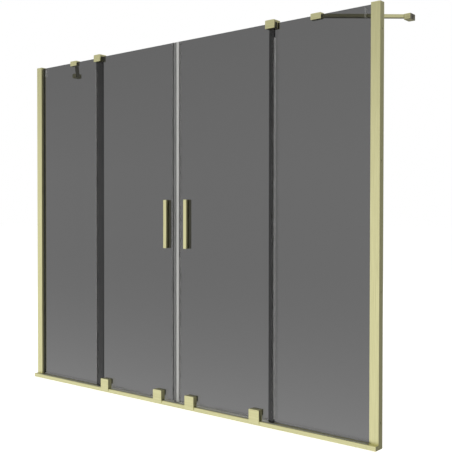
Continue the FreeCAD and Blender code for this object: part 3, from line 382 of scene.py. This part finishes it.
# %% [markdown]
# ## Handing out the finishes
#
# The CAD record gives each piece a slot, such as gold_profile or nylon, and a finish for each slot
# dresses most of the screen. A few pieces look different from the others in their slot: the
# strips of the rail are brushed along it, the handles upright, and the guides have dark liners.
# They are listed by name. Materials can be swapped on a CAD piece without touching its shape.

# %% A finish for each CAD piece
SLOT_FINISH = {
    "gold_profile": gold_upright,
    "gold_fitting": gold_level,
    "tinted_glass": glass,
    "black_rubber": rubber,
    "clear_seal": clear_seal,
    "clear_pad": clear_pad,
    "nylon": nylon,
    "steel": steel,
}
slot_of = {part["node"]: part["material_slot"] for part in frame["record"]["subparts"]}
own_finish["sill_filler"] = gold_level
# The sill gaskets get the mid grey as painted light.
own_finish["sill_gaskets"] = sill_strip_painted_light
own_finish["stay_fixings"] = dark_steel
for side, sign in SIDES:
    own_finish[f"{side}_rail_cap"] = gold_level
    own_finish[f"{side}_guide_liner"] = dark_nylon
    for place in ("outer", "inner"):
        own_finish[f"{side}_{place}_handle"] = gold_upright

for name, node in nodes.items():
    node.data.materials.clear()
    node.data.materials.append(own_finish.get(name, SLOT_FINISH[slot_of[name]]))
print("pieces by slot:", len(nodes) - len(own_finish), "and by name:", len(own_finish))

# %% [markdown]
# ## Broken edges
#
# No edge of a real extrusion or casting is a perfect corner, and a corner without a radius never
# catches light. Bevelled copies would do, but modifiers keep the CAD piece as it is: they weld
# the triangles, merge flat ones, round each corner by less than half a millimetre, and let
# the large faces set the shading so that they stay flat.

# %% Round the corners of metal, rubber and nylon
CORNER_WIDTH = {
    "gold_profile": 0.45 * MM,
    "gold_fitting": 0.3 * MM,
    "black_rubber": 0.4 * MM,
    "nylon": 0.2 * MM,
}
SAME_PLACE = 0.001 * MM
FLAT_BELOW = math.radians(0.3)
CORNER_FROM = math.radians(40)
CORNER_STEPS = 2


def round_corners(node, width):
    """Rounds the corners of a CAD piece with modifiers."""
    weld = node.modifiers.new("weld", "WELD")
    weld.merge_threshold = SAME_PLACE
    merge = node.modifiers.new("merge flat faces", "DECIMATE")
    merge.decimate_type = "DISSOLVE"
    merge.angle_limit = FLAT_BELOW
    bevel = node.modifiers.new("round corners", "BEVEL")
    bevel.width = width
    bevel.segments = CORNER_STEPS
    bevel.limit_method = "ANGLE"
    bevel.angle_limit = CORNER_FROM
    bevel.use_clamp_overlap = True
    bevel.miter_outer = "MITER_ARC"
    node.modifiers.new("flat faces lead", "WEIGHTED_NORMAL").keep_sharp = True
    for face in node.data.polygons:
        face.use_smooth = True


rounded = [name for name in nodes if slot_of[name] in CORNER_WIDTH]
for name in rounded:
    round_corners(nodes[name], CORNER_WIDTH[slot_of[name]])
print("pieces with rounded corners:", len(rounded))

# %% [markdown]
# ## Strips
#
# The seals are extrusions: one cross-section pushed along the edge of the glass. A curve with a
# bevel could sweep it, but a drawn outline, filled and pushed along one axis, gives exact corners,
# and an inner outline leaves a hollow. So the ends show the wall and the chamber, as the factory
# makes them. A hair of air stays between a strip and the glass: where two clear solids share a
# face, the renderer can't tell which one a ray is in, and the face goes black.

# %% Push a cross-section along an axis
AIR = 0.15 * MM


def box_outline(low, high):
    """The four corners of a cross-section between two opposite ones."""
    return [(low[0], low[1]), (high[0], low[1]), (high[0], high[1]), (low[0], high[1])]


def fill_between(shape, loops):
    """Fills the flat area between loops of points with triangles."""
    edges = [shape.edges.get((loop[i - 1], loop[i])) for loop in loops for i in range(len(loop))]
    bmesh.ops.triangle_fill(shape, use_beauty=True, edges=edges)


def strip(outlines, axis, ends):
    """A shape whose outlines, the outer one first, are filled and pushed from end to end.

    An outline's points are given across the axis: as (y, z) for X and as (x, y) for Z.
    """
    shape = bmesh.new()
    rims = []
    for outline in outlines:
        loops = []
        for end in ends:
            points = [(end, *point) if axis == "X" else (*point, end) for point in outline]
            loops.append([shape.verts.new(point) for point in points])
        low, high = loops
        for i in range(len(outline)):
            shape.faces.new((low[i - 1], low[i], high[i], high[i - 1]))
        rims.append(loops)
    for loops_at_end in zip(*rims):
        fill_between(shape, loops_at_end)
    bmesh.ops.recalc_face_normals(shape, faces=shape.faces)
    return shape


print("air between a strip and the glass:", AIR / MM, "mm")

# %% [markdown]
# ## Closing seals
#
# Where the doors meet, each glass edge carries a clip with a hollow nose, and a magnet bar lies in
# the nose and pulls the doors shut. The CAD seal is one solid, so it is replaced by a clip and a
# bar with a finish each. The clip is nearly invisible, and what the eye sees is the two bars: the
# grey one on the left door, which is painted shade, and the milky one on the right door. Below the
# glass the clip ends, and the nose alone goes on down to the rail.

# %% A mesh as a piece of the screen
def add_piece(name, shape, finish, body):
    """A finished mesh as a piece that moves with a body of the CAD model."""
    mesh = bpy.data.meshes.new(name)
    shape.to_mesh(mesh)
    shape.free()
    mesh.materials.append(finish)
    piece = bpy.data.objects.new(name, mesh)
    bpy.context.scene.collection.objects.link(piece)
    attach(piece, body)
    return piece


def reach(low, high):
    """The distances of a box's near and far sides from the middle of the screen."""
    return sorted((abs(low[0]), abs(high[0])))


def mirrored(outline, sign):
    """An outline drawn on the right half, on the half of the screen that the sign names."""
    return [(sign * x, y) for x, y in outline]


near, far = reach(*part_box("right_door_glass"))
print("door glass:", round(near / MM, 1), "to", round(far / MM, 1), "mm from the middle")

# %% Clips and magnet bars of the closing seals
WALL = 0.5 * MM
BAR_ROOM = 0.1 * MM
NECK_SETBACK = 2 * MM
SHOULDER_SETBACK = 1 * MM
FOOT_RISE = 1 * MM


def closing_seal(side, sign, magnet):
    """The clip and the magnet bar of one door, from the CAD seal and the pane beside it."""
    node = f"{side}_magnetic_seal"
    body = f"{side}_door"
    low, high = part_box(node)
    pane_low, pane_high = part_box(f"{side}_door_glass")
    front, back = pane_low[1], pane_high[1]
    nose, tail = reach(low, high)
    glass_edge = reach(pane_low, pane_high)[0] - AIR
    neck = glass_edge - NECK_SETBACK
    shoulder = glass_edge - SHOULDER_SETBACK
    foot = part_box(f"{side}_drip_seal")[1][2] + FOOT_RISE
    clip = mirrored([
        (tail, low[1]), (shoulder, low[1]), (neck, front), (nose, front),
        (nose, back), (neck, back), (shoulder, high[1]), (tail, high[1]),
        (tail, back + AIR), (glass_edge, back + AIR),
        (glass_edge, front - AIR), (tail, front - AIR),
    ], sign)
    hollow = mirrored(box_outline((nose + WALL, front + WALL), (neck - WALL, back - WALL)), sign)
    sleeve = strip([clip, hollow], "Z", (foot, high[2]))
    piece = add_piece(f"{side}_closing_seal_clip", sleeve, clear_seal, body)
    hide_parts(node)
    nose_wall = mirrored(box_outline((nose, front), (neck, back)), sign)
    end = strip([nose_wall, hollow], "Z", (low[2], foot))
    add_piece(f"{side}_closing_seal_foot", end, clear_seal, body)
    inset = WALL + BAR_ROOM
    section = box_outline((nose + inset, front + inset), (neck - inset, back - inset))
    bar = strip([mirrored(section, sign)], "Z", (low[2] + BAR_ROOM, high[2] - BAR_ROOM))
    add_piece(f"{side}_magnet_bar", bar, magnet, body)
    return high[2] - low[2]


# The left door's magnet gets the grey copy, as painted shade.
for (side, sign), magnet in zip(SIDES, (magnet_painted_shade, magnet_milky)):
    print(side, "closing seal:", round(closing_seal(side, sign, magnet) / MM, 1), "mm long")

# %% [markdown]
# ## Drip seals
#
# A strip clipped under each door keeps the water in. Its blade fills the gap over the rail and is
# tinted like the glass, so that the pane seems to reach the rail. The two legs of the clip
# are clear. They are made apart, because one mesh can't be clear in one place and grey in another
# where both soak up light inside.

# %% Blades and clips of the drip seals
def joined(shapes):
    """One shape that holds several separate ones."""
    whole = bmesh.new()
    for shape in shapes:
        mesh = bpy.data.meshes.new("part")
        shape.to_mesh(mesh)
        shape.free()
        whole.from_mesh(mesh)
        bpy.data.meshes.remove(mesh)
    return whole


def drip_seal(side):
    """The tinted blade and the clear legs of one door's drip seal."""
    node = f"{side}_drip_seal"
    body = f"{side}_door"
    low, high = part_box(node)
    pane_low, pane_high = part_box(f"{side}_door_glass")
    ends = (low[0], high[0])
    blade = strip([box_outline((low[1], low[2]), (high[1], pane_low[2] - AIR))], "X", ends)
    piece = add_piece(f"{side}_drip_blade", blade, smoky_seal, body)
    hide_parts(node)
    front_leg = box_outline((low[1], pane_low[2]), (pane_low[1] - AIR, high[2]))
    back_leg = box_outline((pane_high[1] + AIR, pane_low[2]), (high[1], high[2]))
    legs = joined(strip([leg], "X", ends) for leg in (front_leg, back_leg))
    add_piece(f"{side}_drip_clip", legs, clear_seal, body)
    return high[0] - low[0]


for side, sign in SIDES:
    print(side, "drip seal:", round(drip_seal(side) / MM, 1), "mm long")

# %% [markdown]
# ## Lip seals
#
# The outer edge of each door carries a clip whose lip bends back to the fixed pane. In the
# photograph a faint light line runs along that edge. The wall of the clip stands across the edge
# and would catch such light, so the wall is milky, and the legs and the lip are clear. They are
# strips of their own for the same reason as the parts of the drip seals.

# %% Walls, legs and lips
def lip_seal(side, sign):
    """The milky wall, and the clear legs and lip, on the outer edge of one door."""
    node = f"{side}_lip_seal"
    body = f"{side}_door"
    low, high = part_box(node)
    pane_low, pane_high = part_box(f"{side}_door_glass")
    ends = (low[2], high[2])
    thick = pane_low[1] - low[1]
    edge = reach(pane_low, pane_high)[1]
    tail, lip = reach(low, high)
    root = pane_high[1] + thick
    wall = mirrored(box_outline((edge + AIR, low[1]), (edge + thick, root)), sign)
    piece = add_piece(
        f"{side}_lip_wall", strip([wall], "Z", ends), milky_seal, body)
    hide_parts(node)
    front_leg = box_outline((tail, low[1]), (edge, pane_low[1] - AIR))
    back_leg = box_outline((tail, pane_high[1] + AIR), (edge, root))
    blade = [
        (edge, root + AIR), (edge + thick, root + AIR), (lip, high[1]), (lip - thick, high[1]),
    ]
    outlines = (mirrored(outline, sign) for outline in (front_leg, back_leg, blade))
    clear_parts = joined(strip([outline], "Z", ends) for outline in outlines)
    add_piece(f"{side}_lip_strip", clear_parts, clear_seal, body)
    return high[2] - low[2]


for side, sign in SIDES:
    print(side, "lip seal:", round(lip_seal(side, sign) / MM, 1), "mm long")

# %% [markdown]
# ## Door stops
#
# Near the top of each fixed pane a small plastic angle stops the open door. Its foot is glued to
# the glass and its web stands out for the door's edge to meet. It could be one bent strip, but in
# the photograph only the web shows, as a short light streak, so the web is milky and the foot
# clear. Both stops are one CAD node, which is hidden once the feet and webs are made.

# %% Feet and webs of the stops
STOP_WIDTH = 9 * MM
STOP_WEB = 2 * MM
STOP_FOOT = 1 * MM
STOP_CORNER = 0.6 * MM


def door_stop(side, sign):
    """The stop of one door: a foot on the glass and a web that the door's edge meets."""
    low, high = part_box("door_stops")
    ends = (low[2], high[2])
    outer = high[0]
    inner = outer - STOP_WIDTH
    web = inner + STOP_WEB
    front, back = low[1], high[1] - AIR
    foot = mirrored(box_outline((inner, back - STOP_FOOT), (outer, back)), sign)
    add_piece(f"{side}_stop_foot", strip([foot], "Z", ends), clear_seal, "frame")
    root = back - STOP_FOOT - AIR
    outline = mirrored([
        (inner, root), (web, root), (web, front + STOP_CORNER), (web - STOP_CORNER, front),
        (inner + STOP_CORNER, front), (inner, front + STOP_CORNER),
    ], sign)
    block = strip([outline], "Z", ends)
    return add_piece(f"{side}_stop_block", block, milky_pad, "frame")


stops = [door_stop(side, sign) for side, sign in SIDES]
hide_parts("door_stops")
print("door stops:", round(stops[1].dimensions.z / MM, 1), "mm tall")

# %% [markdown] ## Sealant  The fixed panes stand in a slot of the rail, and the fitter closes it in
# front with a bead of grey sealant. A finger draws it hollow, so its section has a short leg on the
# rail, a short leg on the glass and a curve between them.

# %% Beads along the fixed panes
BEAD = 4.2 * MM
BEAD_STEPS = 6
GASKET_LIP = 5.1 * MM


def sealant_bead(side, sign):
    """The bead in front of one fixed pane, from its free edge to the gasket in the profile."""
    pane_low, pane_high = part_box(f"{side}_fixed_glass")
    free_edge = reach(pane_low, pane_high)[0]
    gasket = reach(*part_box(f"{side}_wall_profile"))[0] - GASKET_LIP
    face = pane_low[1] - AIR
    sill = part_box("sill_gaskets")[1][2] + AIR
    turns = [math.pi / 2 * i / BEAD_STEPS for i in range(BEAD_STEPS + 1)]
    curve = [
        (face - BEAD + BEAD * math.sin(turn), sill + BEAD - BEAD * math.cos(turn)) for turn in turns
    ]
    outline = [(face, sill), *reversed(curve)]
    bead = strip([outline], "X", (sign * free_edge, sign * gasket))
    add_piece(f"{side}_sealant_bead", bead, sealant, "frame")
    return gasket - free_edge


for side, sign in SIDES:
    print(side, "bead:", round(sealant_bead(side, sign) / MM, 1), "mm long")

# %% [markdown]
# ## Places of the screws
#
# The guides, the stays and the profiles are held by screws with key sockets, and the carriages by
# countersunk ones. The CAD model has them as plain solids, several in one node. Their places could
# be typed in again, but then they would stay behind when a size changes. So each solid is found by
# walking along its edges until no new point is reached, and its box gives the place and length.

# %% Find the separate solids of a CAD node
def solids_of(node):
    """The lowest and highest corners of each separate solid in a CAD node."""
    shape = bmesh.new()
    shape.from_mesh(nodes[node].data)
    bmesh.ops.remove_doubles(shape, verts=shape.verts, dist=SAME_PLACE)
    unseen = set(shape.verts)
    boxes = []
    for first in shape.verts:
        if first not in unseen:
            continue
        unseen.remove(first)
        reached = [first]
        for vert in reached:
            near = [edge.other_vert(vert) for edge in vert.link_edges]
            fresh = [other for other in near if other in unseen]
            unseen.difference_update(fresh)
            reached += fresh
        corners = list(zip(*(vert.co for vert in reached)))
        boxes.append(([min(c) for c in corners], [max(c) for c in corners]))
    shape.free()
    return boxes


screw_nodes = ["grub_screws", "lock_screws"] + [f"{side}_carriage_screws" for side, sign in SIDES]
screw_boxes = {node: solids_of(node) for node in screw_nodes}
print("screws found:", {node: len(boxes) for node, boxes in screw_boxes.items()})

# %% [markdown]
# ## Screws with key sockets
#
# A screw is a turned piece, so rings of points along its axis give its outside. The socket can't
# be turned: a six-sided ring is sunk into the end, and the flat rim between the circle and the
# hexagon is filled. A cut with a boolean would do the same but leaves a less tidy mesh. The screws
# face the bath, or the floor where they stand upright.

# %% Turn a screw and sink its key socket
ROUND = 32
KEY_SIDES = 6
SOCKET_DEPTH = 1.8 * MM
SOCKET_CONE = 0.3


def ring(shape, seat, radius, depth, count):
    """A ring of points round a screw's axis, at a depth below its outer end."""
    x, y, z, upright = seat
    points = []
    for turn in (2 * math.pi * i / count for i in range(count)):
        a, b = radius * math.cos(turn), radius * math.sin(turn)
        points.append((x + a, y + b, z + depth) if upright else (x + a, y - depth, z + b))
    return [shape.verts.new(point) for point in points]


def bridge(shape, first, second):
    """Faces between two rings with as many points."""
    pairs = [(i - 1, i) for i in range(len(first))]
    return [shape.faces.new((first[i], first[j], second[j], second[i])) for i, j in pairs]


def add_screw(shape, seat, key, outside):
    """Adds a screw with a socket for a key of some width, and an outside of radii and depths."""
    rings = [ring(shape, seat, radius, depth, ROUND) for radius, depth in outside]
    for first, second in zip(rings, rings[1:]):
        for face in bridge(shape, first, second):
            face.smooth = True
    shape.faces.new(rings[-1])
    corner = key / math.sqrt(3)
    mouth = ring(shape, seat, corner, 0.0, KEY_SIDES)
    socket_floor = ring(shape, seat, corner, SOCKET_DEPTH, KEY_SIDES)
    bridge(shape, mouth, socket_floor)
    tip = ring(shape, seat, 0.0, SOCKET_DEPTH + SOCKET_CONE * corner, 1)[0]
    for i in range(KEY_SIDES):
        shape.faces.new((socket_floor[i - 1], socket_floor[i], tip))
    fill_between(shape, (rings[0], mouth))


print("sockets:", KEY_SIDES, "sides,", round(SOCKET_DEPTH / MM, 1), "mm deep")

# %% Key width and outside of each kind of screw
GRUB_BEVEL = 0.15
PAN_KEY, PAN_HEAD, PAN_SHANK = 2.0 * MM, 2 * MM, 1.75 * MM
PAN_CROWN = ((0.72, 0.0), (0.88, 0.1), (0.97, 0.3), (1.0, 0.6), (1.0, 1.0))
SUNK_KEY, SUNK_SHANK = 3.0 * MM, 2.5 * MM


def grub(radius, length):
    """A screw without a head, bevelled at both ends."""
    bevel = GRUB_BEVEL * radius
    waist = radius - bevel
    return radius, [(waist, 0.0), (radius, bevel), (radius, length - bevel), (waist, length)]


def pan_head(radius, length):
    """A screw with a low round head."""
    crown = [(share * radius, depth * PAN_HEAD) for share, depth in PAN_CROWN]
    return PAN_KEY, crown + [(PAN_SHANK, PAN_HEAD), (PAN_SHANK, length)]


def countersunk(radius, length):
    """A screw whose head lies flush in a cone."""
    return SUNK_KEY, [(radius, 0.0), (SUNK_SHANK, radius - SUNK_SHANK), (SUNK_SHANK, length)]


print("keys:", PAN_KEY / MM, "mm for the profiles and", SUNK_KEY / MM, "mm for the carriages")

# %% Put the screws in place
def screw_set(name, node, kind, body):
    """Screws of one kind in place of a CAD node."""
    shape = bmesh.new()
    for low, high in screw_boxes[node]:
        size = [b - a for a, b in zip(low, high)]
        middle = [(a + b) / 2 for a, b in zip(low, high)]
        if size[2] > size[1]:
            seat = (middle[0], middle[1], low[2], True)
            radius, length = size[1] / 2, size[2]
        else:
            seat = (middle[0], high[1], middle[2], False)
            radius, length = size[2] / 2, size[1]
        add_screw(shape, seat, *kind(radius, length))
    bmesh.ops.recalc_face_normals(shape, faces=shape.faces)
    piece = add_piece(name, shape, steel, body)
    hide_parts(node)
    return piece


screw_sets = [
    screw_set("clamp_screws_with_sockets", "grub_screws", grub, "frame"),
    screw_set("profile_screws_with_sockets", "lock_screws", pan_head, "frame"),
]
for side, sign in SIDES:
    name = f"{side}_carriage_screws_with_sockets"
    screw_sets.append(screw_set(name, f"{side}_carriage_screws", countersunk, f"{side}_door"))
print("faces of the screws:", [len(piece.data.polygons) for piece in screw_sets])

# %% [markdown]
# ## The floor
#
# A bright room makes grey glass readable. The floor is a large sheet that answers the lamps, so
# that it keeps the shadow, and glows a little, so that it comes out white. Lamps strong enough for
# a white floor would bleach the gold. To rays that come from metal or glass the floor is plain
# white, because a lit floor would put uneven greys into them.

# %% A floor finish, lit for the camera and plain white for metal and glass
FLOOR_COLOUR = (0.8, 0.8, 0.8)
FLOOR_ROUGHNESS = 0.9
FLOOR_GLOW = 0.57


def is_any_ray(recipe, kinds):
    """1 for rays of some kinds, and 0 for the others."""
    path = recipe.add("LightPath")
    total = path.outputs[kinds[0]]
    for kind in kinds[1:]:
        larger = recipe.add("Math", {0: total, 1: path.outputs[kind]}, operation="MAXIMUM")
        total = larger.outputs["Value"]
    return total


floor_white, shader, recipe = new_finish("floor_white")
recipe.feed(shader, {
    "Base Color": FLOOR_COLOUR, "Roughness": FLOOR_ROUGHNESS, "Specular IOR Level": 0.0,
})
glow = recipe.add("Emission", {"Strength": FLOOR_GLOW})
lit = recipe.add("AddShader", {0: shader.outputs["BSDF"], 1: glow.outputs["Emission"]})
plain_white = recipe.add("Emission")
seen = recipe.add("MixShader", {
    "Fac": is_any_ray(recipe, ("Is Glossy Ray", "Is Transmission Ray")),
    1: lit.outputs["Shader"],
    2: plain_white.outputs["Emission"],
})
recipe.feed(recipe.tree.nodes["Material Output"], {"Surface": seen.outputs["Shader"]})
print("floor finish:", floor_white.name, "of", len(recipe.tree.nodes), "nodes")

# %% Lay the floor
FLOOR_REACH = 40


def studio_sheet(name, corners, finish):
    """A flat sheet of the studio, given by its corners."""
    mesh = bpy.data.meshes.new(name)
    mesh.from_pydata(corners, [], [tuple(range(len(corners)))])
    mesh.materials.append(finish)
    sheet = bpy.data.objects.new(name, mesh)
    bpy.context.scene.collection.objects.link(sheet)
    return sheet


floor_outline = box_outline((-FLOOR_REACH, -FLOOR_REACH), (FLOOR_REACH, FLOOR_REACH))
studio_sheet("floor", [(x, y, 0) for x, y in floor_outline], floor_white)
print("floor:", 2 * FLOOR_REACH, "metres square")

# %% [markdown]
# ## The world
#
# Round the object stands an even white. As a light at full strength it would flatten the
# shapes, so it lights at about half, and shows as white to the camera and to rays from metal and
# glass. A backdrop sheet would do the same from one side only.

# %% World that lights softly and looks white
AMBIENT = 0.55
WHITE = (1.0, 1.0, 1.0)

world = bpy.data.worlds.new("studio")
world.use_nodes = True
bpy.context.scene.world = world
sky = Recipe(world.node_tree)
looks = is_any_ray(sky, ("Is Camera Ray", "Is Glossy Ray", "Is Transmission Ray"))
sky.feed(sky.tree.nodes["Background"], {
    "Color": WHITE, "Strength": spread(sky, looks, (0.0, 1.0), AMBIENT, 1.0),
})
print("world:", AMBIENT, "as light and 1 as background")

# %% [markdown]
# ## Cards for the reflections
#
# Brushed metal and glass show what they face, and in a room of pure white they would look flat. So
# photographers set up cards. Behind the screen, a wall and the floor before it carry two soft grey
# patches, one beyond each end, for the side faces of the profiles and the glass. A band high in
# front darkens upwards, for the upper ends. The patches fade out and run on over the floor, because
# a hard edge would show as a line in the glass. The camera sees no card.

# %% A glow that depends on the place
GREY = 0.24
# The middle of each patch and how far it reaches along X, Y and Z.
PATCHES = (((1.2, 1.2, 0.8), (3.2, 2.4, 2.4)), ((-3.2, 2.4, 0.9), (1.2, 1.2, 1.0)))
PATCH_FADE = (0.8, 1.6)
BAND_FADE = (1.4, 3.6)
BAND_GREY = 0.5


def by_distance(recipe):
    """Grey round the middle of a patch behind each end, fading out to white."""
    place = recipe.add("TexCoord").outputs["Object"]
    distances = []
    for middle, size in PATCHES:
        shift = recipe.add("VectorMath", {0: place, 1: middle}, operation="SUBTRACT")
        shrink = recipe.add(
            "VectorMath", {0: shift.outputs["Vector"], 1: size}, operation="DIVIDE")
        length = recipe.add("VectorMath", {0: shrink.outputs["Vector"]}, operation="LENGTH")
        distances.append(length.outputs["Value"])
    nearest = recipe.add("Math", dict(enumerate(distances)), operation="MINIMUM")
    return spread(recipe, nearest.outputs["Value"], PATCH_FADE, GREY, 1.0)


def by_height(recipe):
    """White up to the top of the screen, then darker with height."""
    return spread(recipe, height_of(recipe), BAND_FADE, 1.0, BAND_GREY)


def glowing(name, strength_of):
    """A glow whose strength is worked out from the place on the sheet."""
    material, shader, recipe = new_finish(name)
    glow = recipe.add("Emission", {"Strength": strength_of(recipe)})
    recipe.feed(recipe.tree.nodes["Material Output"], {"Surface": glow.outputs["Emission"]})
    return material


grey_patch = glowing("grey_patch", by_distance)
darker_upwards = glowing("darker_upwards", by_height)
print("glows:", grey_patch.name, "and", darker_upwards.name)

# %% Set up the cards
LEFT, RIGHT = -6, 7
BACK, TOP = 2.4, 6
LOW = 0.4 * MM
SCREEN_END, BESIDE, BEHIND = 0.9, -0.1, 0.05
BAND_LEFT, BAND_RIGHT, BAND_FRONT = -12, 4, -6.0
BAND_LOW, BAND_HIGH = 1.2, 7

cards = {
    "wall_patch": (grey_patch, [
        (LEFT, BACK, LOW), (RIGHT, BACK, LOW), (RIGHT, BACK, TOP), (LEFT, BACK, TOP),
    ]),
    "floor_patch": (grey_patch, [
        (SCREEN_END, BESIDE, LOW), (RIGHT, BESIDE, LOW), (RIGHT, BACK, LOW),
        (LEFT, BACK, LOW), (LEFT, BEHIND, LOW), (SCREEN_END, BEHIND, LOW),
    ]),
    "band_in_front": (darker_upwards, [
        (BAND_LEFT, BAND_FRONT, BAND_LOW), (BAND_RIGHT, BAND_FRONT, BAND_LOW),
        (BAND_RIGHT, BAND_FRONT, BAND_HIGH), (BAND_LEFT, BAND_FRONT, BAND_HIGH),
    ]),
}
for name, (finish, corners) in cards.items():
    card = studio_sheet(name, corners, finish)
    card.visible_camera = False
    card.visible_diffuse = False
    card.visible_transmission = False
    card.visible_volume_scatter = False
    card.visible_shadow = False
print("cards:", ", ".join(cards))

# %% [markdown]
# ## The lamps
#
# Three large soft lamps model the shapes: one from the left in front, a weaker one from the right,
# and one from behind for the bath side. Small lamps would draw hard shadows. The lamps don't
# show in metal or through clear plastic, where they would be bright squares that the photograph
# hasn't got.

# %% Soft lamps
MIDDLE = (0.0, 0.0, 0.75)
# Place, width in metres and power in watts.
SOFTBOXES = {
    "key_softbox": ((-2.6, -4.2, 3.4), 2.6, 100.0),
    "fill_softbox": ((3.8, -3.4, 2.4), 2.2, 45.0),
    "back_softbox": ((1.2, 4.6, 3.0), 2.4, 80.0),
}


def look_along(direction):
    """The turn of a lamp or a camera that looks along a direction, with its top up."""
    return direction.to_track_quat("-Z", "Y").to_euler()


for name, (place, size, power) in SOFTBOXES.items():
    lamp = bpy.data.lights.new(name, "AREA")
    lamp.shape = "SQUARE"
    lamp.size = size
    lamp.energy = power
    softbox = bpy.data.objects.new(name, lamp)
    bpy.context.scene.collection.objects.link(softbox)
    softbox.location = place
    softbox.rotation_euler = look_along(Vector(MIDDLE) - Vector(place))
    softbox.visible_glossy = False
    softbox.visible_transmission = False
print("softboxes:", {name: power for name, (place, size, power) in SOFTBOXES.items()}, "watts")

# %% [markdown]
# ## The camera
#
# The photograph was taken from the right at the height of the handles, with the lens level but for
# one degree. Its frame is cut off-centre, so the lens is shifted sideways and not turned, which
# would lean the uprights. The place, the turn and the lens were worked out from the lines of the
# frame in the photograph, and the lens is given in pixels there.

# %% Camera at the photograph's place
IMAGE = 452.0
FOCAL_PIXELS = 767.7
AXIS_PIXEL = (172.7, 226.7)
SENSOR = 36.0
EYE = Vector((2077.25, -2371.5, 790.1)) * MM
YAW = math.radians(41.476)
PITCH = math.radians(0.923)

lens = bpy.data.cameras.new("photo_view")
lens.sensor_fit = "HORIZONTAL"
lens.sensor_width = SENSOR
lens.lens = SENSOR * FOCAL_PIXELS / IMAGE
lens.shift_x = (IMAGE / 2 - AXIS_PIXEL[0]) / IMAGE
lens.shift_y = (AXIS_PIXEL[1] - IMAGE / 2) / IMAGE
camera = bpy.data.objects.new("photo_view", lens)
bpy.context.scene.collection.objects.link(camera)
level = math.cos(PITCH)
gaze = Vector((-math.sin(YAW) * level, math.cos(YAW) * level, -math.sin(PITCH)))
camera.location = EYE
camera.rotation_euler = look_along(gaze)
bpy.context.scene.camera = camera
bpy.context.scene.view_settings.view_transform = "Standard"
print("lens", round(lens.lens, 2), "mm, shift", round(lens.shift_x, 4))

# %% [markdown]
